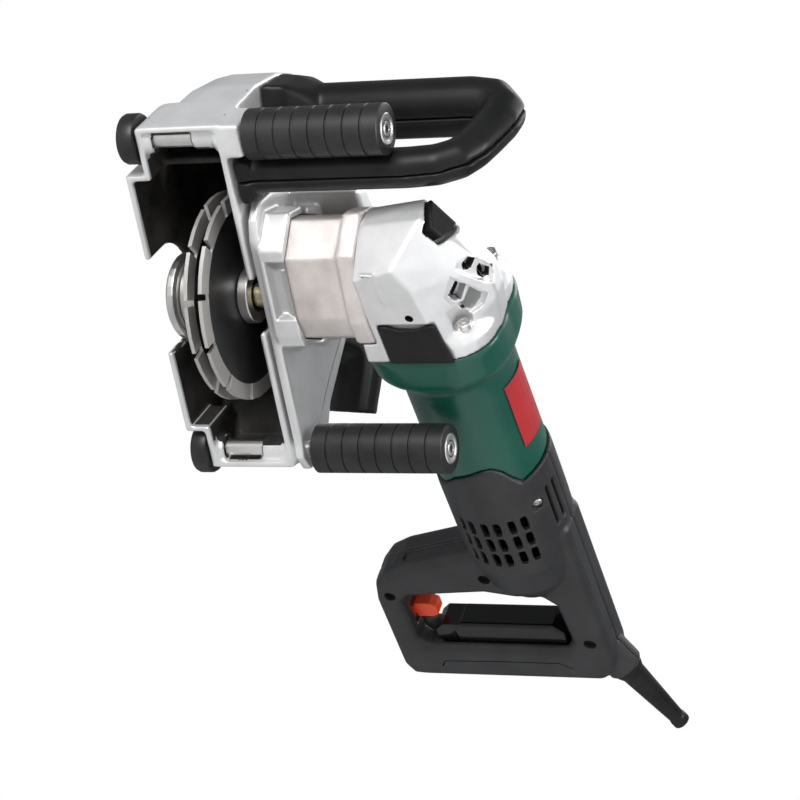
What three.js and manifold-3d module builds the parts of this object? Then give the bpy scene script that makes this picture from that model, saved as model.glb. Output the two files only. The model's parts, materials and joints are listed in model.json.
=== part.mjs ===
// Wall chaser: two cutting discs under a rolling hood, driven by an angle-grinder style motor unit
// that swings about the rear roller axle to set the cutting depth.
// Millimetres. X forward along the cut, Y along the spindle towards the motor, Z away from the wall.
// The origin is the outer end face of the spindle, on the spindle axis. Rest state: full cutting depth.
import * as THREE from 'three';
import { mergeVertices } from 'three/addons/utils/BufferGeometryUtils.js';
import ManifoldModule from 'manifold-3d';

const wasm = await ManifoldModule();
wasm.setup();

// ---------------------------------------------------------------- driving dimensions
const GAP = 0.3;                 // clearance between separate pieces
const WALL_Z = -22.5;            // the plane the wheels roll on
const FRONT_AXLE_X = 105.5;
const REAR_AXLE_X = -99.5;
const WHEEL_R = 15;
const AXLE_Z = WALL_Z + WHEEL_R;
const AXLE_R = 4;
const SLEEVE_R = 5.8;
const BOSS_Y = 38;               // the stepped bosses at the right end of the sleeves start here
const DISC_R = 62.5;
const DISC_T = 1.8;
const SEGMENT_T = 2.4;
const DISC_A_Y = 34.8;           // mid plane of the outer disc
const DISC_B_Y = 44.2;           // mid plane of the inner disc
const RIM_Z = -18.5;             // lower edge of the hood
const HOOD_Y0 = -8;              // outer face of the hood's left wall
const HOOD_Y1 = 60;              // outer face of the hood's right wall
const HOOD_WALL = 4;
const POCKET_Y = 5;              // the left wall steps in to here beside the narrow wheels
const PARK_DEG = 27;             // swing that lifts the discs fully into the hood
const PLATE_Y0 = 62.5;
const PLATE_T = 6;
const KNOB_X = -46;
const KNOB_Z = 66;
const KNOB_Y = PLATE_Y0 + PLATE_T + 1;
const ROLLER_Y0 = 73;
const ROLLER_Y1 = 159;
const MOTOR_Y = 151.6;           // the motor axis crosses this Y
const MOTOR_OFFSET = 20;         // countershaft above the spindle, along the machine's own up
const TILT_DEG = 18;             // motor axis against the wall plane at full depth
const BARREL_R = 35.6;
const FLANGE_M = 35;             // joint face between the gear housing and the motor housing
const SCREW_SEAT_M = 19;         // the flange screws' heads sit here
const flangeScrews = [[29.5, -30], [29.5, 30], [-29.5, 30], [-29.5, -30]];
// Corners of the windows: along the sloping flank, and along the motor axis.
const exhaustWindows = [
  [[12, -20.5], [17, -20], [18.5, -17], [15.5, -13], [11.5, -14.5]],
  [[20.5, -14], [24, -11], [24.5, -3], [22, -1], [18.5, -6.5]],
  [[3, -12], [8, -8.5], [7.5, -4.5], [1.2, 2], [-2.5, -4]],
  [[11.5, 0], [17, 7], [9, 12.5], [3, 8.8], [6, 2]],
];
const GREEN_END = 150;           // joint between motor housing and rear shells, on average
const seamLine = [
  [-150, 158], [-30, 158], [-22, 154], [-12, 144.6], [0, 139.7], [8, 137], [13, 137], [18, 142], [22, 150],
  [26, 157], [34, 155], [150, 152],
];
const TAIL_M = 357;              // rear edge of the handle
const HANDLE_HALF = 17;          // half thickness of the handle loop
const CROWN_TEETH = 36;
const BEVEL_TEETH = 11;
const COUNTER_TEETH = 18;
const WHEEL_TEETH = 22;
const BAIL_X = 78.5;             // the guide handle's low arm
const BAIL_LOW_Z = -0.5;
const BAIL_HIGH_Z = 70;
const BAIL_LEAN = 7.5 / 70.5;    // forward lean of the loop per millimetre of height

// ---------------------------------------------------------------- shape helpers
const V2 = (p) => new THREE.Vector2(p[0], p[1]);
const rad = (d) => (d * Math.PI) / 180;

const machineFrame = new THREE.Matrix4().set(
  0, -Math.cos(rad(TILT_DEG)), Math.sin(rad(TILT_DEG)), Math.sin(rad(TILT_DEG)) * MOTOR_OFFSET,
  1, 0, 0, MOTOR_Y,
  0, Math.sin(rad(TILT_DEG)), Math.cos(rad(TILT_DEG)), Math.cos(rad(TILT_DEG)) * MOTOR_OFFSET,
  0, 0, 0, 1,
);

function lathe(profile, segments = 40) {
  return new THREE.LatheGeometry(profile.map(V2), segments);
}

// A plain cylinder or tube about the local Y axis.
function rod(r, y0, y1, segments = 32, bore = 0) {
  const points = bore
    ? [[bore, y0], [r, y0], [r, y1], [bore, y1], [bore, y0]]
    : [[0, y0], [r, y0], [r, y1], [0, y1]];
  return lathe(points, segments);
}

function box(x0, x1, y0, y1, z0, z1) {
  return new THREE.BoxGeometry(x1 - x0, y1 - y0, z1 - z0)
    .translate((x0 + x1) / 2, (y0 + y1) / 2, (z0 + z1) / 2);
}

function outline(points, hole) {
  const shape = new THREE.Shape(points.map(V2));
  if (hole) shape.holes.push(new THREE.Path(hole.map(V2)));
  return shape;
}

// Extrudes an outline between two heights, rounding its edges by `round`.
function extrude(shape, from, to, round = 0, steps = 3) {
  const geometry = new THREE.ExtrudeGeometry(shape, {
    depth: to - from - 2 * round,
    bevelEnabled: round > 0,
    bevelThickness: round,
    bevelSize: round,
    bevelOffset: -round,
    bevelSegments: steps,
    curveSegments: 8,
  });
  return geometry.translate(0, 0, from + round);
}

// Extrudes an outline drawn in X and Z across Y.
function slab(points, y0, y1, round = 0, hole) {
  const across = new THREE.Matrix4().set(1, 0, 0, 0, 0, 0, -1, 0, 0, 1, 0, 0, 0, 0, 0, 1);
  return extrude(outline(points, hole), -y1, -y0, round).applyMatrix4(across);
}

// Extrudes an outline drawn in the machine's Y and Z across its X.
function slabAcross(points, x0, x1, round = 0) {
  const across = new THREE.Matrix4().set(0, 0, 1, 0, 1, 0, 0, 0, 0, 1, 0, 0, 0, 0, 0, 1);
  return extrude(outline(points), x0, x1, round).applyMatrix4(across);
}

function toSolid(geometry) {
  const bare = new THREE.BufferGeometry();
  bare.setAttribute('position', geometry.getAttribute('position').clone());
  if (geometry.index) bare.setIndex(geometry.index.clone());
  const merged = mergeVertices(bare, 1e-4);
  const index = merged.index.array;
  const kept = [];
  for (let i = 0; i < index.length; i += 3) {
    const [a, b, c] = [index[i], index[i + 1], index[i + 2]];
    if (a !== b && b !== c && a !== c) kept.push(a, b, c);
  }
  return new wasm.Manifold(new wasm.Mesh({
    numProp: 3,
    vertProperties: new Float32Array(merged.getAttribute('position').array),
    triVerts: new Uint32Array(kept),
  }));
}

function toGeometry(solid) {
  const mesh = solid.getMesh();
  const geometry = new THREE.BufferGeometry();
  geometry.setAttribute('position', new THREE.BufferAttribute(new Float32Array(mesh.vertProperties), 3));
  geometry.setIndex(new THREE.BufferAttribute(new Uint32Array(mesh.triVerts), 1));
  geometry.computeVertexNormals();
  return geometry;
}

const join = (...parts) => toGeometry(parts.map(toSolid).reduce((a, b) => a.add(b)));
const cut = (base, ...tools) => toGeometry(tools.map(toSolid).reduce((a, b) => a.subtract(b), toSolid(base)));
const common = (a, b) => toGeometry(toSolid(a).intersect(toSolid(b)));
const inMachine = (geometry) => geometry.applyMatrix4(machineFrame);

function circle(x, y, r, count = 24, from = 0, to = 360) {
  const points = [];
  const closed = to - from >= 360;
  const steps = closed ? count : count - 1;
  for (let i = 0; i < count; i += 1) {
    const a = rad(from + ((to - from) * i) / steps);
    points.push([x + r * Math.cos(a), y + r * Math.sin(a)]);
  }
  return points;
}

const group = new THREE.Group();
group.name = 'wall_chaser';

function add(name, geometry, colour, metalness = 0.1, roughness = 0.6) {
  const material = new THREE.MeshStandardMaterial({ color: colour, metalness, roughness });
  const mesh = new THREE.Mesh(geometry, material);
  mesh.name = name;
  group.add(mesh);
}

const SILVER = 0xb9bcbf;
const BLACK = 0x1c1d1f;
const GREY = 0x3a3b3e;
const GREEN = 0x1d4a3c;
const STEEL = 0x8d8f92;
const RED = 0xc8402c;
const COPPER = 0xb06a3c;

// ---------------------------------------------------------------- hood
const hoodOuter = [
  [-107.5, RIM_Z], [116, RIM_Z], [118, 10], [118.5, 38], [113, 70], [104, 91], [92, 102],
  [40, 113.5], [-14, 114.5], [-32, 113], [-52, 105], [-69, 90], [-80, 70], [-85, 50], [-88, 30],
  [-98, 17], [-107.5, 9],
];
const hoodInner = [
  [-103.5, RIM_Z - 5], [112, RIM_Z - 5], [114, 10], [114.5, 37], [109.2, 68], [100.8, 88], [90, 98],
  [40, 109.5], [-14, 110.5], [-31, 109], [-49.5, 101.5], [-65.5, 88], [-76, 69], [-81, 50],
  [-84, 31], [-94, 20], [-103.5, 11],
];
// Above the wheels the hood is a dome: its front left corner and its top left edge are rounded.
const DOME_Z0 = 16.9;
const domeCorner = [[-54, -8], [-30, -1], [-18.5, 2.3], [-8.8, 8.8], [-2.3, 18.5], [0, 30]];
const lowCorner = [[-130, -30], [100, -30], [107, -8], [112, -2], [115, 4], [117, 9], [118.6, 14], [118.6, 90], [-130, 90]];
const domeLevels = [
  { z: DOME_Z0, front: 118, in: 0 }, { z: 38, front: 118.5, in: 0 }, { z: 70, front: 113, in: 0 },
  { z: 91, front: 104, in: 4 }, { z: 102, front: 92, in: 11 }, { z: 110, front: 62, in: 19 },
  { z: 114.6, front: 20, in: 30 },
];
function dome(wall) {
  const points = domeLevels.flatMap(({ z, front, in: inset }) => [
    ...domeCorner.map(([x, y]) => [front + x - wall, Math.max(y, HOOD_Y0 + inset) + wall, z - (z > 80 ? wall : 0)]),
    [front - wall, 90, z - (z > 80 ? wall : 0)],
    [-130, 90, z - (z > 80 ? wall : 0)],
    [-130, HOOD_Y0 + inset + wall, z - (z > 80 ? wall : 0)],
  ]);
  const below = lowCorner.flatMap(([x, y]) =>
    [-60, DOME_Z0 + 0.01].map((z) => [x - (x > 0 ? wall : 0), y + (y > -20 ? wall : 0), z]));
  return join(toGeometry(wasm.Manifold.hull(points)), toGeometry(wasm.Manifold.hull(below)));
}
// The slot follows the spindle's path about the rear axle.
function slotOutline() {
  const path = [];
  const arm = Math.hypot(-REAR_AXLE_X, AXLE_Z);
  const start = Math.asin(-AXLE_Z / arm);
  const half = 17;
  for (let i = 0; i <= 6; i += 1) {
    const a = start + rad(PARK_DEG * (i / 6));
    path.push([REAR_AXLE_X + (arm + half) * Math.cos(a), AXLE_Z + (arm + half) * Math.sin(a)]);
  }
  const top = start + rad(PARK_DEG);
  const centre = [REAR_AXLE_X + arm * Math.cos(top), AXLE_Z + arm * Math.sin(top)];
  const cap = circle(centre[0], centre[1], half, 7, (top * 180) / Math.PI + 20, (top * 180) / Math.PI + 160);
  path.push(...cap);
  for (let i = 6; i >= 0; i -= 1) {
    const a = start + rad(PARK_DEG * (i / 6));
    path.push([REAR_AXLE_X + (arm - half) * Math.cos(a), AXLE_Z + (arm - half) * Math.sin(a)]);
  }
  return [[half, RIM_Z - 6], ...path, [-half, RIM_Z - 6]];
}
const OUTLET = { x: -66, y: 26, z: 96 };       // centre of the dust outlet on the hood's back
const outletAxis = new THREE.Vector3(-0.62, 0, 0.785).normalize();
function alongOutlet(geometry) {
  const turn = new THREE.Quaternion().setFromUnitVectors(new THREE.Vector3(0, 1, 0), outletAxis);
  return geometry.applyQuaternion(turn).translate(OUTLET.x, OUTLET.y, OUTLET.z);
}
const archTool = slab([
  ...circle(1, 0, 31, 16, 0, 180), [-29, RIM_Z - 6], [32, RIM_Z - 6],
], HOOD_Y0 - 2, HOOD_Y0 + HOOD_WALL + 3);
const hoodBlock = common(slab(hoodOuter, HOOD_Y0, HOOD_Y1, 1.5), dome(0));
let hood = cut(
  hoodBlock,
  common(slab(hoodInner, HOOD_Y0 + HOOD_WALL, HOOD_Y1 - HOOD_WALL), dome(HOOD_WALL)),
  // wheel pockets at the left corners
  slab([[86, RIM_Z - 5], [125, RIM_Z - 5], [125, 17], [92, 17], [86, 11]], HOOD_Y0 - 2, POCKET_Y),
  slab([[-83, RIM_Z - 5], [-83, 9], [-90, 15], [-120, 15], [-120, RIM_Z - 5]], HOOD_Y0 - 2, POCKET_Y),
);
const pocketWall = (x0, x1) => join(
  slab([[x0, RIM_Z], [x1, RIM_Z], [x1, 19], [x0, 19]], POCKET_Y, POCKET_Y + 3.5),
  slab(x0 > 0
    ? [[82.5, RIM_Z], [86, RIM_Z], [86, 11], [92, 17], [114, 17], [114, 20.5], [90.5, 20.5], [82.5, 12.5]]
    : [[-79.5, RIM_Z], [-79.5, 10.5], [-88, 18.5], [-104, 18.5], [-104, 15], [-90, 15], [-83, 9], [-83, RIM_Z]],
  HOOD_Y0 + 2, POCKET_Y + 3.5),
);
hood = join(
  hood,
  common(pocketWall(83, 114), common(slab(hoodOuter, HOOD_Y0, HOOD_Y1), dome(0))),
  common(pocketWall(-106, -80), common(slab(hoodOuter, HOOD_Y0, HOOD_Y1), dome(0))),
  // bosses that carry the axles in both walls
  rod(9, POCKET_Y + 1, POCKET_Y + 8, 20).translate(FRONT_AXLE_X, 0, AXLE_Z),
  rod(9, POCKET_Y + 1, POCKET_Y + 8, 20).translate(REAR_AXLE_X, 0, AXLE_Z),
  rod(10, HOOD_Y1 - 7, HOOD_Y1 + 2, 20).translate(FRONT_AXLE_X, 0, AXLE_Z),
  rod(9, HOOD_Y1 - 7, HOOD_Y1 + 1.5, 20).translate(REAR_AXLE_X, 0, AXLE_Z),
  rod(7.4, BOSS_Y, HOOD_Y1 - 2, 20).translate(FRONT_AXLE_X, 0, AXLE_Z),
  rod(7.4, BOSS_Y, HOOD_Y1 - 2, 20).translate(REAR_AXLE_X, 0, AXLE_Z),
  // square pad beside the front roller
  slab([[95, RIM_Z], [115.5, RIM_Z], [117, 6], [110, 12], [95, 12]], HOOD_Y1 - 2, ROLLER_Y0 - 1.5, 1),
  // stiffening rib across the front
  slab([[84, 2], [88, 2], [88, 12], [84, 12]], HOOD_Y0 + 2, HOOD_Y1 - 2),
  // spigot for the dust nozzle
  alongOutlet(rod(19, -10, 12, 24)),
);
hood = cut(
  hood,
  archTool,
  slab(slotOutline(), HOOD_Y1 - HOOD_WALL - 4, HOOD_Y1 + 3),
  alongOutlet(rod(16, -24, 20, 20)),
  rod(AXLE_R + GAP, HOOD_Y0 - 4, ROLLER_Y0 + 1, 20).translate(FRONT_AXLE_X, 0, AXLE_Z),
  rod(AXLE_R + GAP, HOOD_Y0 - 4, HOOD_Y1 + 6, 20).translate(REAR_AXLE_X, 0, AXLE_Z),
  rod(SLEEVE_R + GAP, POCKET_Y + 8, BOSS_Y, 20).translate(REAR_AXLE_X, 0, AXLE_Z),
);
add('hood_shell', hood, SILVER, 0.7, 0.4);

// ---------------------------------------------------------------- axles, wheels and rollers
const axleEnds = { front: FRONT_AXLE_X, rear: REAR_AXLE_X };
for (const [which, x] of Object.entries(axleEnds)) {
  add(`${which}_axle`, rod(AXLE_R, HOOD_Y0 + 1.2, ROLLER_Y1 - 3, 20).translate(x, 0, AXLE_Z), STEEL, 0.9, 0.3);
  const sleeve = rod(SLEEVE_R, POCKET_Y + 8 + GAP, BOSS_Y - GAP, 20, AXLE_R + GAP);
  add(`${which}_sleeve`, sleeve.translate(x, 0, AXLE_Z), SILVER, 0.8, 0.35);
  const wheelProfile = [
    [AXLE_R + GAP, HOOD_Y0 + 2], [7, HOOD_Y0 + 2], [7, HOOD_Y0 + 1], [12.5, HOOD_Y0 + 1],
    [WHEEL_R, HOOD_Y0 + 3], [WHEEL_R, 2], [13, POCKET_Y - 1],
    [AXLE_R + GAP, POCKET_Y - 1], [AXLE_R + GAP, HOOD_Y0 + 2],
  ];
  add(`${which}_wheel`, lathe(wheelProfile, 28).translate(x, 0, AXLE_Z), BLACK, 0, 0.85);
  // roller: a plastic core with a rubber sleeve on it
  const core = [
    [AXLE_R + GAP, ROLLER_Y0], [11, ROLLER_Y0], [11, ROLLER_Y1 - 1.5], [9.8, ROLLER_Y1 - 1.5],
    [9.8, ROLLER_Y1 - 2.5], [AXLE_R + GAP, ROLLER_Y1 - 2.5], [AXLE_R + GAP, ROLLER_Y0],
  ];
  add(`${which}_roller_core`, lathe(core, 20).translate(x, 0, AXLE_Z), GREY, 0, 0.5);
  const tyre = [
    [11 + GAP, ROLLER_Y0 + 0.2], [13.4, ROLLER_Y0 + 0.2], [WHEEL_R, ROLLER_Y0 + 2],
    [WHEEL_R, ROLLER_Y1 - 2.5], [12.6, ROLLER_Y1], [11 + GAP, ROLLER_Y1], [11 + GAP, ROLLER_Y0 + 0.2],
  ];
  add(`${which}_roller_tyre`, lathe(tyre, 32).translate(x, 0, AXLE_Z), BLACK, 0, 0.85);
}
// End caps screwed into the axles hold the rollers on.
function roundCap(r, y0, y1, socket, sides) {
  const cap = lathe([[0, y0], [r, y0], [r, y1 - 0.8], [r - 1, y1], [0, y1]], 32);
  return cut(cap, rod(socket, y1 - 1.4, y1 + 1, sides));
}
const CAP_Y = ROLLER_Y1 - 2.5 + GAP;
add('front_roller_cap', roundCap(9.4, CAP_Y, CAP_Y + 2.6, 3.2, 6).translate(FRONT_AXLE_X, 0, AXLE_Z), STEEL, 0.95, 0.2);
add('rear_roller_cap', roundCap(9.4, CAP_Y, CAP_Y + 2.6, 3.6, 6).translate(REAR_AXLE_X, 0, AXLE_Z), STEEL, 0.95, 0.2);
for (const [which, x] of Object.entries(axleEnds)) {
  const head = cut(
    lathe([[0, HOOD_Y0 - 1.2], [5.2, HOOD_Y0 - 1.2], [6.4, HOOD_Y0], [6.4, HOOD_Y0 + 0.7], [0, HOOD_Y0 + 0.7]], 24),
    rod(2.4, HOOD_Y0 - 3, HOOD_Y0 - 0.2, 6),
  );
  add(`${which}_wheel_bolt`, head.translate(x, 0, AXLE_Z), STEEL, 0.95, 0.25);
}

// ---------------------------------------------------------------- guide handle on the hood
// A body through rings of points, each ring with the same count, closed at both ends.
function loft(rings) {
  const count = rings[0].length;
  const positions = rings.flat(2);
  const last = (rings.length - 1) * count;
  const middle = (ring) => [0, 1, 2].map((k) => ring.reduce((sum, p) => sum + p[k], 0) / count);
  positions.push(...middle(rings[0]), ...middle(rings[rings.length - 1]));
  const index = [];
  for (let i = 0; i < count; i += 1) {
    const j = (i + 1) % count;
    index.push(rings.length * count, j, i, rings.length * count + 1, last + i, last + j);
    for (let ring = 0; ring < last; ring += count) {
      index.push(ring + i, ring + j, ring + count + i, ring + j, ring + count + j, ring + count + i);
    }
  }
  const geometry = new THREE.BufferGeometry();
  geometry.setAttribute('position', new THREE.BufferAttribute(new Float32Array(positions), 3));
  geometry.setIndex(index);
  return geometry;
}
// Centre line of the loop: low arm, slanted grip, high arm. r is the half width along X, flat the share across it.
const loopKeys = [
  { y: HOOD_Y1 + GAP, z: BAIL_LOW_Z, r: 12, flat: 1 }, { y: 120, z: BAIL_LOW_Z, r: 12, flat: 1 },
  { y: 164, z: BAIL_LOW_Z, r: 12, flat: 1 }, { y: 181, z: 1.5, r: 12, flat: 1 },
  { y: 192, z: 8, r: 12, flat: 1 }, { y: 197, z: 18, r: 12.2, flat: 1 }, { y: 200.5, z: 34, r: 12.6, flat: 1 },
  { y: 203, z: 50, r: 13.2, flat: 0.98 }, { y: 203, z: 60, r: 14.5, flat: 0.92 },
  { y: 196, z: 68, r: 17, flat: 0.86 }, { y: 181, z: BAIL_HIGH_Z, r: 18.3, flat: 0.82 },
  { y: 130, z: BAIL_HIGH_Z, r: 18.3, flat: 0.82 }, { y: HOOD_Y1 + GAP, z: BAIL_HIGH_Z, r: 18.3, flat: 0.82 },
];
const loopLean = (z) => BAIL_X + (z - BAIL_LOW_Z) * BAIL_LEAN;
function loopSolid() {
  const centre = loopKeys.map(({ y, z }) => new THREE.Vector3(loopLean(z), y, z));
  const rings = loopKeys.map(({ r, flat }, k) => {
    const tangent = centre[Math.min(k + 1, centre.length - 1)].clone().sub(centre[Math.max(k - 1, 0)]).normalize();
    const wide = new THREE.Vector3(1, 0, 0).addScaledVector(tangent, -tangent.x).normalize();
    const thin = new THREE.Vector3().crossVectors(tangent, wide);
    return circle(0, 0, 1, 20).map(([u, v]) => centre[k].clone()
      .addScaledVector(wide, r * u).addScaledVector(thin, r * flat * v).toArray());
  });
  return loft(rings);
}
// Foot of the high arm: flares to the edge of the hood.
const highFoot = toGeometry(wasm.Manifold.hull([
  ...[[62, 52], [74, 40], [95, 36], [116, 42], [112, 71], [103, 91], [91, 100], [72, 97], [62, 84]]
    .flatMap(([x, z]) => [[x, HOOD_Y1 + GAP, z], [86 + (x - 86) * 0.93, HOOD_Y1 + 14, 70 + (z - 70) * 0.9]]),
  ...circle(86, 70, 15.5, 12).map(([x, z]) => [x, HOOD_Y1 + 29, z]),
]));
const bail = join(
  loopSolid(),
  highFoot,
  slab([[64, -14], [90, -14], [93, 0], [88, 13], [66, 13], [62, 0]], HOOD_Y1 + GAP, HOOD_Y1 + 9, 2),
);
const leaning = (x0, x1) => slab([
  [loopLean(-60) + x0, -60], [loopLean(-60) + x1, -60], [loopLean(160) + x1, 160], [loopLean(160) + x0, 160],
], 0, 260);
const bailFront = leaning(GAP / 2, 70);
const bailRear = leaning(-90, -GAP / 2);
const bailPinHoles = [BAIL_LOW_Z, BAIL_HIGH_Z - 2].map((z) => rod(3.3, HOOD_Y1 - 8, HOOD_Y1 + 8.4, 12)
  .translate(loopLean(z), 0, z));
add('guide_handle_front', cut(common(bail, bailFront), ...bailPinHoles), BLACK, 0, 0.55);
add('guide_handle_rear', cut(common(bail, bailRear), ...bailPinHoles), BLACK, 0, 0.55);

// ---------------------------------------------------------------- dust nozzle
const nozzleEnd = new THREE.Vector3(-138, 38, 112);
const nozzleDir = new THREE.Vector3(-0.872, -0.066, -0.485).normalize();
const nozzleStart = new THREE.Vector3(OUTLET.x, OUTLET.y, OUTLET.z).addScaledVector(outletAxis, 12.6);
const nozzleKnee = nozzleEnd.clone().addScaledVector(nozzleDir, -42);
const nozzlePath = (from, to) => new THREE.CatmullRomCurve3([
  nozzleStart.clone().addScaledVector(outletAxis, from),
  nozzleStart.clone().addScaledVector(outletAxis, 14),
  nozzleKnee,
  nozzleEnd.clone().addScaledVector(nozzleDir, to),
]);
const pipe = (r, from, to) => new THREE.ExtrudeGeometry(
  new THREE.Shape(circle(0, 0, r, 16).map(V2)),
  { steps: 9, extrudePath: nozzlePath(from, to), bevelEnabled: false },
);
const nozzle = cut(
  join(pipe(18, 0, 0), alongOutlet(rod(23, 2, 24, 24))),
  pipe(15.2, -2, 4),
  alongOutlet(rod(19.3, -10, 12.3, 24)),
  alongOutlet(rod(15.8, 10, 22, 24)),
);
add('dust_nozzle', nozzle, BLACK, 0, 0.6);

// ---------------------------------------------------------------- swinging plate with the neck clamp
const neckOutline = [
  [-46, -6], [-35.5, -29], [1.3, -40.9], [16, -40.6], [34, -23], [34, 10], [22, 22], [-24, 22], [-38, 7],
];
const NECK_CENTRE = [-4, -10];
function grown(points, by) {
  const [cx, cy] = NECK_CENTRE;
  return points.map(([x, y]) => {
    const d = Math.hypot(x - cx, y - cy);
    return [cx + ((x - cx) * (d + by)) / d, cy + ((y - cy) * (d + by)) / d];
  });
}
const plateOutline = [
  [-99.5, -20.4], [-92, -18.6], [-33, RIM_Z], [42, RIM_Z], [54, -14], [62, -4], [61, 16], [52, 46], [36, 74],
  [14, 92], [-18, 97], [-46, 88], [-63, 72], [-88, 31], [-99, 22], [-108, 9], [-112.4, -4], [-110.6, -14],
];
const machineToLocal = machineFrame.clone().invert();
const plateBody = slab(plateOutline, PLATE_Y0, PLATE_Y0 + PLATE_T, 1.2).applyMatrix4(machineToLocal);
const SPINDLE_W = -MOTOR_OFFSET;
const plateLocal = PLATE_Y0 + PLATE_T - MOTOR_Y;
const NECK_X0 = plateLocal + GAP;
const NECK_X1 = -22;
const plate = cut(
  join(
    plateBody,
    common(
      slabAcross(grown(neckOutline, 5.5), plateLocal - 1, plateLocal + 16, 1),
      box(-200, 200, -100, 100, WALL_Z + 1.5, 200).applyMatrix4(machineToLocal),
    ),
    // gussets between the clamp and the plate
    slabAcross([[34, -18], [62, 4], [34, 6]], plateLocal - 1, plateLocal + 9),
    // lug for the clamp screw
    slabAcross([[-40, 12], [-22, 34], [-10, 34], [-14, 20], [-30, 6]], plateLocal + 2, plateLocal + 16, 1),
    // housing of the depth stop above the neck
    slabAcross([[-37, 28.5], [-28, 43], [0, 44], [14, 33], [14, 28.5]], plateLocal - 1, -40, 1.5),
  ),
  slabAcross(grown(neckOutline, GAP + 0.4), plateLocal, plateLocal + 30),
  // split of the clamp
  slabAcross([[-46, 14], [-26, -3], [-22, 1], [-42, 20]], plateLocal + 1, plateLocal + 30),
  rod(13, plateLocal - 20, plateLocal + 4, 28).rotateZ(-Math.PI / 2).translate(0, 0, SPINDLE_W),
  rod(AXLE_R + GAP, PLATE_Y0 - 6, PLATE_Y0 + PLATE_T + 6, 20)
    .translate(REAR_AXLE_X, 0, AXLE_Z).applyMatrix4(machineToLocal),
  rod(4, PLATE_Y0 - 6, PLATE_Y0 + PLATE_T + 6, 16).translate(KNOB_X, 0, KNOB_Z).applyMatrix4(machineToLocal),
);
add('swing_plate', inMachine(plate), SILVER, 0.7, 0.4);
// Clamp knob that pinches the plate against the hood to hold a depth.
add('depth_clamp_knob', join(
  cut(
    lathe([[0, KNOB_Y], [11, KNOB_Y], [12.5, KNOB_Y + 2], [12.5, KNOB_Y + 11], [10, KNOB_Y + 14], [0, KNOB_Y + 14]], 24),
    ...[0, 1, 2, 3, 4, 5].map((i) => rod(2.6, KNOB_Y - 1, KNOB_Y + 16, 8).translate(
      13.4 * Math.cos((i * Math.PI) / 3), 0, 13.4 * Math.sin((i * Math.PI) / 3),
    )),
  ),
  rod(3.7, HOOD_Y1 + 1, KNOB_Y + 2, 16),
).translate(KNOB_X, 0, KNOB_Z), BLACK, 0, 0.6);

// ---------------------------------------------------------------- gear train housings
const alongX = (geometry, m = 0, w = 0) => geometry.rotateZ(-Math.PI / 2).translate(0, m, w);
const neckCavity = join(
  alongX(rod(13.5, NECK_X0 + 12, NECK_X1 + 20, 28), 0, SPINDLE_W),
  alongX(rod(12.5, NECK_X0 + 12, NECK_X1 + 20, 28), 0, 0),
);
const neck = cut(
  join(
    slabAcross(neckOutline, NECK_X0, NECK_X1 - GAP, 1.2),
    common(
      slabAcross(grown(neckOutline, 4), NECK_X1 - 13, NECK_X1 - GAP, 2.5),
      box(-90, 0, -90, FLANGE_M - 0.6, -90, 90),
    ),
  ),
  neckCavity,
  alongX(rod(8.6, NECK_X0 - 5, NECK_X0 + 20, 24), 0, SPINDLE_W),
  // shallow decorative step round the body
  slabAcross([[-50, -3], [-37.5, -28], [-36.6, -27.4], [-48, -2]], NECK_X0 + 20, NECK_X1 - 6),
);
add('gearbox_neck', inMachine(neck), SILVER, 0.7, 0.45);

// Sections of the gear housing at five heights, each an outline in the machine's X and Y.
const headLevels = [
  { w: -44, points: [[-28, -30], [4, -38], [12, -22], [15, 0], [16, FLANGE_M - GAP], [-32, FLANGE_M - GAP]] },
  { w: -13, points: [
    [-28, -46], [17.5, -50.5], [40, -23], [47, -12], [48, 10], [44, FLANGE_M - GAP], [-42, FLANGE_M - GAP], [-38, 4],
  ] },
  { w: 4, points: [
    [-26, -44], [16, -50.5], [34, -23], [41, -14], [46, -4], [46, 14], [43, FLANGE_M - GAP],
    [-42, FLANGE_M - GAP], [-38, 4],
  ] },
  { w: 30, points: [[-24, -17], [-2, -15], [14, 8], [24, FLANGE_M - GAP], [-32, FLANGE_M - GAP], [-32, 8]] },
  { w: 41, points: [[-20, 4], [-6, 6], [8, 26], [10, FLANGE_M - GAP], [-24, FLANGE_M - GAP]] },
];
const headBlock = toGeometry(wasm.Manifold.hull(
  headLevels.flatMap(({ w, points }) => points.map(([x, y]) => [x, y, w])),
));
// Rounded square about the motor axis: `flat` is half its width, `corner` its radius at the corners.
function squareRing(flat, corner, y, count = 40) {
  return circle(0, 0, 1, count).map(([u, v]) => {
    const r = flat + (corner - flat) * (2 * Math.abs(u * v)) ** 1.5;
    return [u * r, y, -v * r];
  });
}
const flange = loft([
  squareRing(34, 38, 12), squareRing(41, 47.5, 23), squareRing(42, 49.5, 26), squareRing(42, 49.5, FLANGE_M - GAP),
]);
const CROWN_R = 27;
const PITCH_DROP = (CROWN_R * BEVEL_TEETH) / CROWN_TEETH;
const BEARING_M = 31.2;
let head = join(
  cut(headBlock, box(-60, NECK_X1, -60, 10, -60, 60)),
  flange,
);
head = cut(
  head,
  // gear room, open towards the neck and towards the motor
  alongX(rod(31.5, NECK_X1 - 3, 12, 36), 0, 0),
  alongX(rod(14, -60, -4, 28), 0, SPINDLE_W),
  rod(12.5, -2, 60, 28),
  rod(15.3, BEARING_M, 60, 28),
);
// The right flank slopes at 45 degrees, and has two pairs of exhaust windows.
function throughFlank(corners) {
  const along = rad(45);
  const frame = new THREE.Matrix4().set(
    Math.cos(along), 0, -Math.sin(along), 0, 0, 1, 0, 0, Math.sin(along), 0, Math.cos(along), 0, 0, 0, 0, 1,
  );
  return extrude(outline(corners), -60, -26).applyMatrix4(frame);
}
for (const corners of exhaustWindows) head = cut(head, throughFlank(corners));
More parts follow.
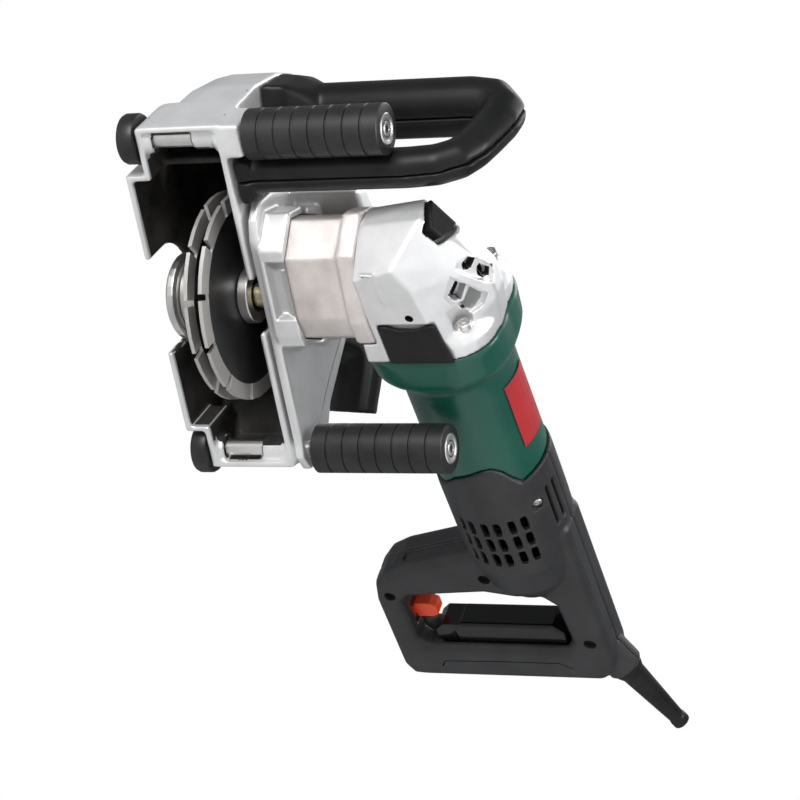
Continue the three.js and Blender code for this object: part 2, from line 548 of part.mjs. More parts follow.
// Recesses of the four screws that hold the motor housing.
for (const [x, z] of flangeScrews) head = cut(head, rod(6.6, SCREW_SEAT_M - 16, SCREW_SEAT_M, 20).translate(x, 0, z));
const buttonFlank = { x: 18, y: -50.5, angle: rad(60.8) };
// Puts a shape drawn along the front flank and up it onto that flank, its depth outwards.
function onFrontFlank(geometry) {
  const along = new THREE.Vector3(Math.cos(buttonFlank.angle), Math.sin(buttonFlank.angle), 0);
  const out = new THREE.Vector3(along.y, -along.x, 0);
  return geometry.applyMatrix4(new THREE.Matrix4().set(
    along.x, 0, out.x, buttonFlank.x, along.y, 0, out.y, buttonFlank.y, 0, 1, 0, 0, 0, 0, 0, 1,
  ));
}
const buttonFace = [[-0.5, 3], [22.5, 3], [21.5, -3], [16, -16], [7, -16], [3, -8]];
const buttonBed = [[-0.9, 3.4], [24.5, 3.4], [24, -4], [18, -18], [5.5, -18], [2, -8.5]];
head = cut(
  head,
  onFrontFlank(extrude(outline([...buttonBed].reverse()), -9, 14)),
  slabAcross(grown(neckOutline, 4.5), -90, NECK_X1),
  // bed of the wall-side pad
  box(-18, 23, 4.5, FLANGE_M + 2, -60, -41.5),
);
add('gear_housing', inMachine(head), SILVER, 0.7, 0.4);
add('wall_side_pad', inMachine(extrude(outline([
  [-17.5, 5], [-12, 5], [-6, 8], [6, 8], [14, 5], [19, 5], [22.5, FLANGE_M - 0.5], [-17.5, FLANGE_M - 0.5],
]), -45.2, -41.8, 0.8)), BLACK, 0, 0.7);
add('spindle_lock_button', inMachine(onFrontFlank(extrude(outline([...buttonFace].reverse()), -5.5, 2.6, 0.8))), BLACK, 0, 0.5);

// ---------------------------------------------------------------- gears
// Bevel gear about the local Y axis with its cone's apex at the origin.
function bevelGear(teeth, pitchR, apexDistance, face, backR, backY, phase) {
  const slant = Math.hypot(pitchR, apexDistance);
  const addendum = 1.4;
  const dedendum = 1.9;
  const around = [[-0.31, -dedendum], [-0.13, addendum], [0.13, addendum], [0.31, -dedendum]];
  const rings = [[], [], []];
  for (let i = 0; i < teeth; i += 1) {
    for (const [fraction, height] of around) {
      const a = phase + (2 * Math.PI * (i + fraction)) / teeth;
      const r = pitchR + (height * apexDistance) / slant;
      const y = apexDistance - (height * pitchR) / slant;
      rings[0].push([r * (1 - face) * Math.cos(a), y * (1 - face), r * (1 - face) * Math.sin(a)]);
      rings[1].push([r * Math.cos(a), y, r * Math.sin(a)]);
      rings[2].push([backR * Math.cos(a), backY, backR * Math.sin(a)]);
    }
  }
  const count = teeth * around.length;
  const positions = rings.flat(2);
  const front = 3 * count;
  positions.push(0, apexDistance * (1 - face), 0, 0, backY, 0);
  const index = [];
  for (let i = 0; i < count; i += 1) {
    const j = (i + 1) % count;
    index.push(front, i, j);
    for (const ring of [0, count]) {
      index.push(ring + i, ring + count + i, ring + j, ring + j, ring + count + i, ring + count + j);
    }
    index.push(front + 1, 2 * count + j, 2 * count + i);
  }
  const geometry = new THREE.BufferGeometry();
  geometry.setAttribute('position', new THREE.BufferAttribute(new Float32Array(positions), 3));
  geometry.setIndex(index);
  return geometry;
}

// Spur gear outline, module 1, with a tooth centred on `phase`.
function spurOutline(teeth, phase) {
  const points = [];
  const pitchR = teeth / 2;
  for (let i = 0; i < teeth; i += 1) {
    for (const [fraction, r] of [[-0.3, pitchR - 1.2], [-0.12, pitchR + 0.85], [0.12, pitchR + 0.85], [0.3, pitchR - 1.2]]) {
      const a = phase + (2 * Math.PI * (i + fraction)) / teeth;
      points.push([r * Math.cos(a), r * Math.sin(a)]);
    }
  }
  return points;
}
const GEAR_X0 = -60;
const GEAR_X1 = -50;
const bevelFace = 0.28;
const crown = bevelGear(
  CROWN_TEETH, CROWN_R, PITCH_DROP, bevelFace, 24, PITCH_DROP + 5, Math.PI / CROWN_TEETH,
).rotateZ(Math.PI / 2);
const counter = join(
  crown,
  alongX(rod(5, -66, -PITCH_DROP - 1, 20)),
  alongX(rod(9, -20, -PITCH_DROP - 3, 20)),
  slabAcross(spurOutline(COUNTER_TEETH, -Math.PI / 2), GEAR_X0, GEAR_X1),
);
add('countershaft', inMachine(counter), STEEL, 0.9, 0.35);
const bearingRing = (outer, bore, y0, y1) => rod(outer, y0, y1, 20, bore);
add('counter_bearing_front', inMachine(alongX(bearingRing(9.6, 5.2, -66.5, -61))), STEEL, 0.9, 0.25);
add('counter_bearing_rear', inMachine(alongX(bearingRing(12.2, 5.2, -38, -31))), STEEL, 0.9, 0.25);

// ---------------------------------------------------------------- spindle and discs
const spindleEnd = NECK_X1 + MOTOR_Y - 17;
const spindle = join(
  rod(6, 0, 60, 24),
  rod(7.6, 52, spindleEnd - 28, 24),
  rod(6, 70, spindleEnd, 24),
  // the wheel has a tooth gap facing the countershaft
  slab(spurOutline(WHEEL_TEETH, Math.PI / 2 - rad(TILT_DEG) + Math.PI / WHEEL_TEETH),
    MOTOR_Y + GEAR_X0, MOTOR_Y + GEAR_X1),
);
add('spindle', spindle, STEEL, 0.9, 0.3);
add('spindle_bearing_front', inMachine(alongX(bearingRing(10.1, 7.8, NECK_X0 + 12.3, NECK_X0 + 19), 0, SPINDLE_W)), STEEL, 0.9, 0.25);
add('spindle_bearing_rear', inMachine(alongX(bearingRing(13.2, 6.2, NECK_X1 - 24, NECK_X1 - 18), 0, SPINDLE_W)), STEEL, 0.9, 0.25);

function cuttingDisc(yMid, turn) {
  const segments = 12;
  const blankR = DISC_R - 9;
  const bore = 11.2;
  let disc = rod(blankR, yMid - DISC_T / 2, yMid + DISC_T / 2, 36, bore);
  const span = rad(360 / segments) * 0.88;
  for (let i = 0; i < segments; i += 1) {
    const mid = turn + rad(360 / segments) * i;
    const points = [];
    for (let k = 0; k <= 3; k += 1) {
      const a = mid + span * (k / 3 - 0.5);
      points.push([DISC_R * Math.cos(a), DISC_R * Math.sin(a)]);
    }
    for (let k = 3; k >= 0; k -= 1) {
      const a = mid + span * (k / 3 - 0.5);
      points.push([(blankR - 1.5) * Math.cos(a), (blankR - 1.5) * Math.sin(a)]);
    }
    disc = join(disc, slab(points, yMid - SEGMENT_T / 2, yMid + SEGMENT_T / 2));
  }
  return disc;
}
add('disc_outer', cuttingDisc(DISC_A_Y, 0.1), STEEL, 0.8, 0.4);
add('disc_inner', cuttingDisc(DISC_B_Y, 0.16), STEEL, 0.8, 0.4);
const halfDisc = DISC_T / 2 + GAP;
const stack = (name, r, y0, y1, bore = 6 + GAP) => add(
  name,
  lathe([[bore, y0], [r - 0.8, y0], [r, y0 + 0.8], [r, y1 - 0.8], [r - 0.8, y1], [bore, y1], [bore, y0]], 24),
  STEEL, 0.9, 0.3,
);
const INNER_FACE = DISC_B_Y + halfDisc;
add('inner_flange', lathe([
  [6 + GAP, INNER_FACE], [17, INNER_FACE], [17, INNER_FACE + 5], [14, INNER_FACE + 6.6],
  [6 + GAP, INNER_FACE + 6.6], [6 + GAP, INNER_FACE],
], 24), STEEL, 0.9, 0.25);
stack('disc_spacer', 15, DISC_A_Y + halfDisc, DISC_B_Y - halfDisc);
stack('pressure_flange', 17, DISC_A_Y - halfDisc - 6, DISC_A_Y - halfDisc);
stack('spare_spacer_1', 21, 18.6, 27.3);
stack('spare_spacer_2', 21, 9.6, 18.3);
const nut = cut(
  lathe([
    [6 + GAP, 1], [11, 1], [12, 2], [23.5, 2], [26, 4], [26, 7.5], [24, 9.3], [6 + GAP, 9.3], [6 + GAP, 1],
  ], 28),
  ...[0, 1, 2, 3].map((i) => rod(2.2, -1, 5, 12).translate(
    17.5 * Math.cos((i * Math.PI) / 2 + 0.5), 0, 17.5 * Math.sin((i * Math.PI) / 2 + 0.5),
  )),
);
add('clamping_nut', nut, STEEL, 0.9, 0.25);

// ---------------------------------------------------------------- motor housing, stator and rotor
const BARREL_END = 160;
const behindSeam = (shift) => extrude(
  outline([...seamLine.map(([x, y]) => [x, y + shift]), [150, 500], [-150, 500]]), -60, 60,
);
const motorShell = cut(
  loft([
    squareRing(42.3, 49.8, FLANGE_M), squareRing(43.4, 50.2, FLANGE_M + 4), squareRing(43.4, 48.5, 56),
    squareRing(42, 45.6, 61), squareRing(38.5, 39.2, 66), squareRing(36.4, 36.4, 71),
    squareRing(BARREL_R, BARREL_R, 78), squareRing(BARREL_R, BARREL_R, BARREL_END),
  ]),
  lathe([[0, FLANGE_M - 2], [39.6, FLANGE_M - 2], [39.6, 62.5], [33, 70], [33, BARREL_END + 2], [0, BARREL_END + 2]], 40),
  behindSeam(0),
);
add('motor_housing', inMachine(motorShell), GREEN, 0.1, 0.45);
const labelArc = (r, from, to) => [0, 1, 2, 3, 4, 5].map((i) => {
  const a = rad(from + ((to - from) * i) / 5);
  return [r * Math.cos(a), r * Math.sin(a)];
});
const labelOutline = [...labelArc(BARREL_R + 0.9, -27, 14), ...labelArc(BARREL_R + GAP, 14, -27)];
add('rating_panel', inMachine(
  extrude(outline(labelOutline.map(([x, z]) => [x, -z])), 84, 134)
    .applyMatrix4(new THREE.Matrix4().set(1, 0, 0, 0, 0, 0, 1, 0, 0, -1, 0, 0, 0, 0, 0, 1)),
), RED, 0, 0.5);
add('stator', inMachine(rod(32.6, 78, 136, 32, 21)), STEEL, 0.6, 0.5);
add('rotor_core', inMachine(rod(20, 80, 134, 28, 5 + GAP)), STEEL, 0.6, 0.5);
add('commutator', inMachine(rod(12, 160, 184, 24, 5 + GAP)), COPPER, 0.8, 0.35);
const pinion = bevelGear(BEVEL_TEETH, PITCH_DROP, CROWN_R, bevelFace, 6, CROWN_R + 4, Math.PI);
add('rotor_shaft', inMachine(join(pinion, rod(5, CROWN_R, 202, 20))), STEEL, 0.9, 0.3);
add('rotor_bearing_front', inMachine(rod(15, BEARING_M + GAP, BEARING_M + 6, 28, 5.3)), STEEL, 0.9, 0.25);
add('rotor_bearing_rear', inMachine(rod(13, 192, 200, 28, 5.3)), STEEL, 0.9, 0.25);
const blades = 9;
let fan = rod(38, 62, 63.2, 36, 5 + GAP);
fan = join(fan, rod(9, 50, 62.5, 20, 5 + GAP));
for (let i = 0; i < blades; i += 1) {
  fan = join(fan, box(8, 37.5, 52, 62.5, -0.8, 0.8).rotateY((2 * Math.PI * i) / blades));
}
add('cooling_fan', inMachine(fan), BLACK, 0, 0.6);
for (const [side, x0, x1] of [['left', -31, -12.6], ['right', 12.6, 31]]) {
  add(`brush_holder_${side}`, inMachine(box(x0, x1, 164, 180, -6, 6)), COPPER, 0.6, 0.4);
}

// ---------------------------------------------------------------- rear shells with the loop handle
const REAR_M = 134;
const loopOuter = [
  [-30, 232], [-44, 236], [-88, 249], [-101, 256], [-110, 267], [-113, 282], [-113, 346], [-108, 356],
  [-98, TAIL_M], [26, TAIL_M], [35, 351], [38, 339], [38, 215], [30, 205], [-20, 205],
];
const loopHole = [
  [-94, 284], [-88, 278], [-34, 273], [-14, 277], [4, 277], [11, 284], [13, 320], [8, 326], [-90, 326], [-94, 321],
];
const BOOT_ANGLE = rad(23.8);
const tailward = (geometry) => geometry.rotateZ(-BOOT_ANGLE).translate(34.4, 352, 0);
const rearBody = join(
  lathe([
    [0, REAR_M], [36.6, REAR_M], [37.4, REAR_M + 30], [37.2, 200], [36.4, 232], [31, 254], [20, 270], [0, 274],
  ], 44),
  extrude(outline(loopOuter, loopHole), -HANDLE_HALF, HANDLE_HALF, 7, 3),
  // swelling where the cord boot leaves
  tailward(rod(12.5, -16, 6, 24)),
);
let rearHollow = cut(
  common(rearBody, behindSeam(GAP)),
  lathe([[0, REAR_M - 2], [33, REAR_M - 2], [33, 226], [27, 250], [0, 258]], 36),
  box(-92, 20, 330, 352, -12.5, 12.5),
  box(-80, 10, 316, 335, -10.3, 10.3),
  box(18, 32, 236, 345, -11, 11),
  // pocket of the lock button in the left member
  box(-98, -91, 292.5, 311.5, -8.6, 8.6),
  box(-108, -97, 296.5, 307.5, -5.4, 5.4),
  tailward(rod(8.3, -14, 22, 24)),
);
// cooling slots: three columns in pairs on the wall side and long slots on the right flank
const ventRows = [188, 202, 216];
for (const angle of [-62, -90, -118]) {
  for (const m of ventRows) {
    for (const shift of [-4.2, 4.2]) {
      const slot = box(28, 44, m - 5, m + 5, -2.1, 2.1).rotateY(rad(-angle + shift * 1.55));
      rearHollow = cut(rearHollow, slot);
    }
  }
}
for (const shift of [-13, -6]) {
  rearHollow = cut(rearHollow, box(28, 44, 172, 206, shift - 1.6, shift + 1.6));
}
const belowSplit = box(-200, 200, 100, 500, -100, -GAP / 2);
const aboveSplit = box(-200, 200, 100, 500, GAP / 2, 100);
add('rear_shell_lower', inMachine(common(rearHollow, belowSplit)), GREY, 0, 0.6);
add('rear_shell_upper', inMachine(common(rearHollow, aboveSplit)), GREY, 0, 0.6);
add('switch_module', inMachine(box(-70, -8, 343.5, 351.5, -11, 11)), BLACK, 0, 0.6);
add('speed_electronics', inMachine(box(-15, 15, 212, 244, -13, 13)), BLACK, 0, 0.6);
add('trigger', inMachine(extrude(outline([
  [-70, 316], [-64, 310], [0, 310], [8, 317], [8, 334.5], [-70, 334.5],
]), -9.8, 9.8, 2)), BLACK, 0, 0.25);
add('lock_button', inMachine(extrude(outline([
  [-94, 293.3], [-83, 293.3], [-78.5, 297], [-78.5, 307], [-83, 310.7], [-94, 310.7], [-94, 307.1], [-103, 307.1],
  [-103, 296.9], [-94, 296.9],
]), -5, 5, 0.6)), RED, 0, 0.4);
add('cord_boot', inMachine(tailward(lathe([
  [4.2, -6], [8, -6], [8, 6.3], [10.4, 6.5], [10.4, 9], [8.4, 14], [5.4, 62], [6, 64], [6, 69], [4.2, 69], [4.2, -6],
], 24))), BLACK, 0, 0.6);

export default group;
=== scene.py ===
# %% [markdown]
# # A wall chaser, dressed for its picture
# A wall chaser cuts two parallel grooves for a cable. Its die-cast hood rolls on the wall,
# the two discs turn inside the hood, and a grinder-like machine swings down to set the depth.
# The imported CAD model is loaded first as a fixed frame. Everything made here rides on one of
# its bodies, in metres, at the CAD's own place.

# %% Load the frame
import bpy, bmesh, json, math
from mathutils import Matrix, Vector
from mathutils.bvhtree import BVHTree


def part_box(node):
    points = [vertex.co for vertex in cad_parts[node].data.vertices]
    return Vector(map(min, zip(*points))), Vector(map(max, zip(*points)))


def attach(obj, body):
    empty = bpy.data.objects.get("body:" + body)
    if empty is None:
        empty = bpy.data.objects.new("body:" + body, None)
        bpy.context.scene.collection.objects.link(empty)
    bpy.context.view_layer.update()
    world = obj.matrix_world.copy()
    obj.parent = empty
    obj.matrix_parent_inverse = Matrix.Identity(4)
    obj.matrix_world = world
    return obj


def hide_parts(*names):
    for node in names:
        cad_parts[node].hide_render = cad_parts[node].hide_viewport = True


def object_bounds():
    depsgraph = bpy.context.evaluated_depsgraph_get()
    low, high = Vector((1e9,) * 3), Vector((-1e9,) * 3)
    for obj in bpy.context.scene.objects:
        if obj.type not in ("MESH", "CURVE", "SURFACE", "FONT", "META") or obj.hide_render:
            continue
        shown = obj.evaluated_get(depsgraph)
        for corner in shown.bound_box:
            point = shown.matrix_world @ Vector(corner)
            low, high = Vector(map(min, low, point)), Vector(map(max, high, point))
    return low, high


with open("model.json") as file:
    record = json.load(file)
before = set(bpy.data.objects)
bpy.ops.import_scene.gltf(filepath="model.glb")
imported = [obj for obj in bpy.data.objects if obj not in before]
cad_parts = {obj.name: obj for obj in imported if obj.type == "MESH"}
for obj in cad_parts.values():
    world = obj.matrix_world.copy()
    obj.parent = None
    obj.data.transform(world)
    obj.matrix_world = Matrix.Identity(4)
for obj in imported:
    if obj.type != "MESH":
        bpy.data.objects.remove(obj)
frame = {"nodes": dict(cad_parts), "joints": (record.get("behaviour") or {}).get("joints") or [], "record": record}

CAD_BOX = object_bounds()
MM = 0.001
print("CAD box", [round(v, 4) for c in CAD_BOX for v in c])

# %% [markdown]
# ## The camera
# The tool hangs in the studio and is seen from below the hood's open side, slightly rolled.
# A camera could be aimed with a constraint, but the roll would then need a second one. A
# matrix made from its right, up and back directions says the same in one step.

# %% Place the camera
VIEW_RIGHT = Vector((-0.18332, 0.92022, 0.34552)).normalized()
VIEW_BACK = Vector((0.42403, 0.39121, -0.81654)).normalized()
VIEW_UP = VIEW_BACK.cross(VIEW_RIGHT).normalized()
VIEW_RIGHT = VIEW_UP.cross(VIEW_BACK)
STAND = Vector((0.7299, 0.8679, -1.5422))


def frame_of(right, up, back, place):
    """The matrix of something at a place, with its axes along three directions."""
    return Matrix.Translation(place) @ Matrix((right, up, back)).transposed().to_4x4()


camera_data = bpy.data.cameras.new("studio_camera")
camera_data.lens, camera_data.sensor_width, camera_data.clip_end = 143.1, 36, 50
camera = bpy.data.objects.new("studio_camera", camera_data)
bpy.context.collection.objects.link(camera)
camera.matrix_world = frame_of(VIEW_RIGHT, VIEW_UP, VIEW_BACK, STAND)
bpy.context.scene.camera = camera
print("camera", [round(v, 3) for v in camera.location])

# %% [markdown]
# ## Light, backdrop and floor
# Softboxes stand round the tool: a key above the camera, a fill on each side and a low one.
# The backdrop is brighter to the camera than to the surfaces, so that black plastic stays
# black.

# %% Studio light
MIDDLE = (CAD_BOX[0] + CAD_BOX[1]) / 2


def softbox(name, aim, distance, width, power):
    """A square soft light, facing the tool from a direction."""
    data = bpy.data.lights.new(name, "AREA")
    data.shape, data.size, data.energy = "SQUARE", width, power
    lamp = bpy.data.objects.new(name, data)
    bpy.context.collection.objects.link(lamp)
    aim = aim.normalized()
    lamp.location = MIDDLE + aim * distance
    lamp.rotation_mode = "QUATERNION"
    lamp.rotation_quaternion = (-aim).to_track_quat("-Z", "Y")
    return lamp


softbox("key", VIEW_UP * 0.75 + VIEW_BACK - VIEW_RIGHT * 0.35, 1.3, 0.42, 14)
softbox("fill_right", VIEW_RIGHT + VIEW_BACK * 0.35 + VIEW_UP * 0.25, 1.2, 0.4, 7)
softbox("fill_left", -VIEW_RIGHT + VIEW_BACK * 0.3, 1.2, 0.6, 3)
softbox("low", -VIEW_UP + VIEW_BACK * 0.45, 1.2, 0.5, 1.5)
softbox("overhead", Vector((0.1, 0.35, 1)), 1.3, 0.9, 7)
world = bpy.data.worlds.new("studio")
bpy.context.scene.world = world
world.use_nodes = True
nodes, links = world.node_tree.nodes, world.node_tree.links
seen, lit = nodes.new("ShaderNodeBackground"), nodes["Background"]
seen.inputs["Color"].default_value = (1, 1, 1, 1)
lit.inputs["Color"].default_value = (0.93, 0.96, 1, 1)
seen.inputs["Strength"].default_value, lit.inputs["Strength"].default_value = 1.0, 0.26
ray, pick = nodes.new("ShaderNodeLightPath"), nodes.new("ShaderNodeMixShader")
links.new(ray.outputs["Is Camera Ray"], pick.inputs["Fac"])
links.new(lit.outputs["Background"], pick.inputs[1])
links.new(seen.outputs["Background"], pick.inputs[2])
links.new(pick.outputs["Shader"], nodes["World Output"].inputs["Surface"])
bpy.context.scene.view_settings.view_transform = "Standard"
print("lights", len(bpy.data.lights))

# %% [markdown]
# ## The floor
# The camera looks up from under the floor, so the floor is clear from below and clear to
# shadow rays, and it shows only to a camera above it. It glows a little of its own, which
# lifts it to the pale backdrop without a brighter lamp on the tool.

# %% Pale floor
FLOOR_REACH = 4
floor_mesh = bpy.data.meshes.new("floor")
level = CAD_BOX[0].z - 2 * MM
corners = [(x * FLOOR_REACH, y * FLOOR_REACH, level) for x, y in ((-1, -1), (1, -1), (1, 1), (-1, 1))]
floor_mesh.from_pydata(corners, [], [(0, 1, 2, 3)])
floor = bpy.data.objects.new("floor", floor_mesh)
bpy.context.collection.objects.link(floor)
floor_paint = bpy.data.materials.new("pale_floor")
floor_paint.use_nodes = True
nodes, links = floor_paint.node_tree.nodes, floor_paint.node_tree.links
for label, value in (("Base Color", (0.94, 0.94, 0.945, 1)), ("Emission Color", (1, 1, 1, 1)),
                     ("Emission Strength", 0.22), ("Roughness", 0.8)):
    nodes["Principled BSDF"].inputs[label].default_value = value
clear, mixed = nodes.new("ShaderNodeBsdfTransparent"), nodes.new("ShaderNodeMixShader")
side, ray = nodes.new("ShaderNodeNewGeometry"), nodes.new("ShaderNodeLightPath")
either = nodes.new("ShaderNodeMath")
either.operation = "MAXIMUM"
links.new(side.outputs["Backfacing"], either.inputs[0])
links.new(ray.outputs["Is Shadow Ray"], either.inputs[1])
links.new(either.outputs["Value"], mixed.inputs["Fac"])
links.new(nodes["Principled BSDF"].outputs["BSDF"], mixed.inputs[1])
links.new(clear.outputs["BSDF"], mixed.inputs[2])
links.new(mixed.outputs["Shader"], nodes["Material Output"].inputs["Surface"])
floor_mesh.materials.append(floor_paint)
print("floor at", round(level, 4))

# %% [markdown]
# ## Effects that several finishes share
# A casting, a moulding and a turned part all need fine grain, slow blotches and rubbed edges.
# Each effect is a node group with its own sizes as inputs, built once. The groups put out
# only masks and heights, and the shader itself stays in each material.

# %% Node group tools
def new_group(name, inputs, outputs):
    """An empty shader node group with number inputs and outputs."""
    group = bpy.data.node_groups.new(name, "ShaderNodeTree")
    for label, value in inputs.items():
        kind = "NodeSocketVector" if label in ("Place", "Normal") else "NodeSocketFloat"
        socket = group.interface.new_socket(label, in_out="INPUT", socket_type=kind)
        if kind == "NodeSocketFloat":
            socket.default_value = value
    for label in outputs:
        group.interface.new_socket(label, in_out="OUTPUT", socket_type="NodeSocketFloat")
    return group, group.nodes.new("NodeGroupInput"), group.nodes.new("NodeGroupOutput")


def math_node(tree, operation, first, second=None, clamp=False):
    """A Math node whose inputs are sockets or numbers."""
    node = tree.nodes.new("ShaderNodeMath")
    node.operation, node.use_clamp = operation, clamp
    for place, value in enumerate((first, second)):
        if isinstance(value, (int, float)):
            node.inputs[place].default_value = value
        elif value is not None:
            tree.links.new(value, node.inputs[place])
    return node.outputs[0]


def noise(tree, place, scale, detail=4.0, roughness=0.55):
    """A Noise texture's value at a place."""
    node = tree.nodes.new("ShaderNodeTexNoise")
    node.inputs["Detail"].default_value, node.inputs["Roughness"].default_value = detail, roughness
    tree.links.new(place, node.inputs["Vector"])
    if isinstance(scale, (int, float)):
        node.inputs["Scale"].default_value = scale
    else:
        tree.links.new(scale, node.inputs["Scale"])
    return node.outputs["Fac"]


# %% Grain: fine height and slow blotches
grain, grain_in, grain_out = new_group("surface_grain", {"Place": 0, "Fine": 900, "Slow": 30},
                                       ["Height", "Blotch"])
fine = noise(grain, grain_in.outputs["Place"], grain_in.outputs["Fine"], 5)
slow = noise(grain, grain_in.outputs["Place"], grain_in.outputs["Slow"], 3)
grain.links.new(fine, grain_out.inputs["Height"])
grain.links.new(slow, grain_out.inputs["Blotch"])
print(grain.name, len(grain.nodes), "nodes")

# %% Rubbed edges: where the rounded normal leaves the true one
wear, wear_in, wear_out = new_group("rubbed_edges", {"Place": 0, "Width": 0.001, "Amount": 0.5},
                                    ["Mask"])
rounded, true = wear.nodes.new("ShaderNodeBevel"), wear.nodes.new("ShaderNodeNewGeometry")
wear.links.new(wear_in.outputs["Width"], rounded.inputs["Radius"])
apart = wear.nodes.new("ShaderNodeVectorMath")
apart.operation = "DOT_PRODUCT"
wear.links.new(rounded.outputs["Normal"], apart.inputs[0])
wear.links.new(true.outputs["Normal"], apart.inputs[1])
bend = math_node(wear, "SUBTRACT", 1.0, apart.outputs["Value"], True)
patchy = noise(wear, wear_in.outputs["Place"], 160.0, 4)
bend = math_node(wear, "MULTIPLY", bend, 9.0)
bend = math_node(wear, "MULTIPLY", bend, patchy, True)
wear.links.new(math_node(wear, "MULTIPLY", bend, wear_in.outputs["Amount"], True), wear_out.inputs["Mask"])
print(wear.name, len(wear.nodes), "nodes")

# %% Pores: the pitted skin of a casting
pores, pores_in, pores_out = new_group("cast_pores", {"Place": 0, "Scale": 700, "Share": 0.3},
                                       ["Height", "Pit"])
cells = pores.nodes.new("ShaderNodeTexVoronoi")
pores.links.new(pores_in.outputs["Place"], cells.inputs["Vector"])
pores.links.new(pores_in.outputs["Scale"], cells.inputs["Scale"])
pit = math_node(pores, "LESS_THAN", cells.outputs["Distance"], pores_in.outputs["Share"])
lumps = noise(pores, pores_in.outputs["Place"], pores_in.outputs["Scale"], 3)
pitted_lumps = math_node(pores, "SUBTRACT", lumps, math_node(pores, "MULTIPLY", pit, 0.6))
pores.links.new(pitted_lumps, pores_out.inputs["Height"])
pores.links.new(pit, pores_out.inputs["Pit"])
print("groups", [g.name for g in bpy.data.node_groups])

# %% [markdown]
# ## The finishes
# Real finishes differ in five ways: colour, how metallic and rough they are, the size of the
# grain, how the colour drifts, and what shows where the edge is rubbed. One function takes
# those five and builds the material, so each finish below reads as a short recipe.

# %% One recipe for a finish
def group_node(tree, group, **values):
    """A node group placed in a material, with its own values."""
    node = tree.nodes.new("ShaderNodeGroup")
    node.node_tree = group
    for label, value in values.items():
        node.inputs[label].default_value = value
    return node


def mix_colour(tree, factor, first, second):
    """Two colours mixed by a mask. A colour is a triple or a socket."""
    node = tree.nodes.new("ShaderNodeMix")
    node.data_type = "RGBA"
    tree.links.new(factor, node.inputs["Factor"])
    for socket, value in ((node.inputs[6], first), (node.inputs[7], second)):
        if isinstance(value, tuple):
            socket.default_value = (*value, 1)
        else:
            tree.links.new(value, socket)
    return node.outputs[2]


def finish(name, colour, drift, rough, metal=0.0, fine=900.0, bump=0.15, soft=0.6, rubbed=None,
           wear_amount=0.5, pitted=0.0, coat=0.0, depth=0.2, shine=0.5):
    """A procedural finish: base colour, the colour it drifts to, roughness, grain and rubbed edges."""
    paint = bpy.data.materials.new(name)
    paint.use_nodes = True
    tree = paint.node_tree
    shader = tree.nodes["Principled BSDF"]
    place = tree.nodes.new("ShaderNodeTexCoord").outputs["Object"]
    skin = group_node(tree, grain, Fine=fine, Slow=38.0)
    tree.links.new(place, skin.inputs["Place"])
    blotch = tree.nodes.new("ShaderNodeMapRange")
    blotch.inputs["From Min"].default_value, blotch.inputs["From Max"].default_value = 0.32, 0.68
    tree.links.new(skin.outputs["Blotch"], blotch.inputs["Value"])
    base = mix_colour(tree, blotch.outputs["Result"], colour, drift)
    height = skin.outputs["Height"]
    if pitted:
        pits = group_node(tree, pores, Scale=1500.0, Share=pitted)
        tree.links.new(place, pits.inputs["Place"])
        height = math_node(tree, "ADD", height, pits.outputs["Height"])
        base = mix_colour(tree, math_node(tree, "MULTIPLY", pits.outputs["Pit"], 0.35), base,
                          tuple(c * 0.45 for c in colour))
    if rubbed:
        edges = group_node(tree, wear, Width=soft * 1.6 * MM, Amount=wear_amount)
        tree.links.new(place, edges.inputs["Place"])
        base = mix_colour(tree, edges.outputs["Mask"], base, rubbed)
    tree.links.new(base, shader.inputs["Base Color"])
    spread = tree.nodes.new("ShaderNodeMapRange")
    spread.inputs["To Min"].default_value, spread.inputs["To Max"].default_value = rough - 0.09, rough + 0.09
    both = math_node(tree, "ADD", skin.outputs["Height"], skin.outputs["Blotch"])
    tree.links.new(math_node(tree, "MULTIPLY", both, 0.5), spread.inputs["Value"])
    tree.links.new(spread.outputs["Result"], shader.inputs["Roughness"])
    shader.inputs["Metallic"].default_value = metal
    shader.inputs["Specular IOR Level"].default_value = shine
    if coat:
        shader.inputs["Coat Weight"].default_value = coat
        shader.inputs["Coat Roughness"].default_value = 0.12
    soft_edge, relief = tree.nodes.new("ShaderNodeBevel"), tree.nodes.new("ShaderNodeBump")
    soft_edge.inputs["Radius"].default_value = soft * MM
    relief.inputs["Strength"].default_value, relief.inputs["Distance"].default_value = bump, depth * MM
    tree.links.new(height, relief.inputs["Height"])
    tree.links.new(soft_edge.outputs["Normal"], relief.inputs["Normal"])
    tree.links.new(relief.outputs["Normal"], shader.inputs["Normal"])
    return paint


# %% The tool's finishes
CAST = finish("shot_blasted_casting", (0.76, 0.76, 0.76), (0.64, 0.64, 0.645), 0.36, 0.6, 1100.0, 0.22, 1.0,
              (0.9, 0.9, 0.9), 0.7)
ROUGH_CAST = finish("raw_casting", (0.72, 0.67, 0.65), (0.52, 0.475, 0.455), 0.46, 0.55, 1300.0, 0.7, 1.0,
                    (0.88, 0.87, 0.86), 0.7, pitted=0.2)
STEEL = finish("turned_steel", (0.82, 0.81, 0.79), (0.68, 0.67, 0.65), 0.34, 1.0, 1500.0, 0.08, 0.4,
               (0.85, 0.85, 0.84))
BRASSY = finish("oiled_steel", (0.74, 0.66, 0.44), (0.55, 0.49, 0.33), 0.34, 1.0, 1200.0, 0.1, 0.3,
                (0.8, 0.74, 0.55))
RUBBER = finish("roller_rubber", (0.009, 0.009, 0.009), (0.016, 0.016, 0.016), 0.4, 0.0, 1400.0, 0.3, 0.4,
                (0.07, 0.07, 0.07), 0.4, shine=0.38)
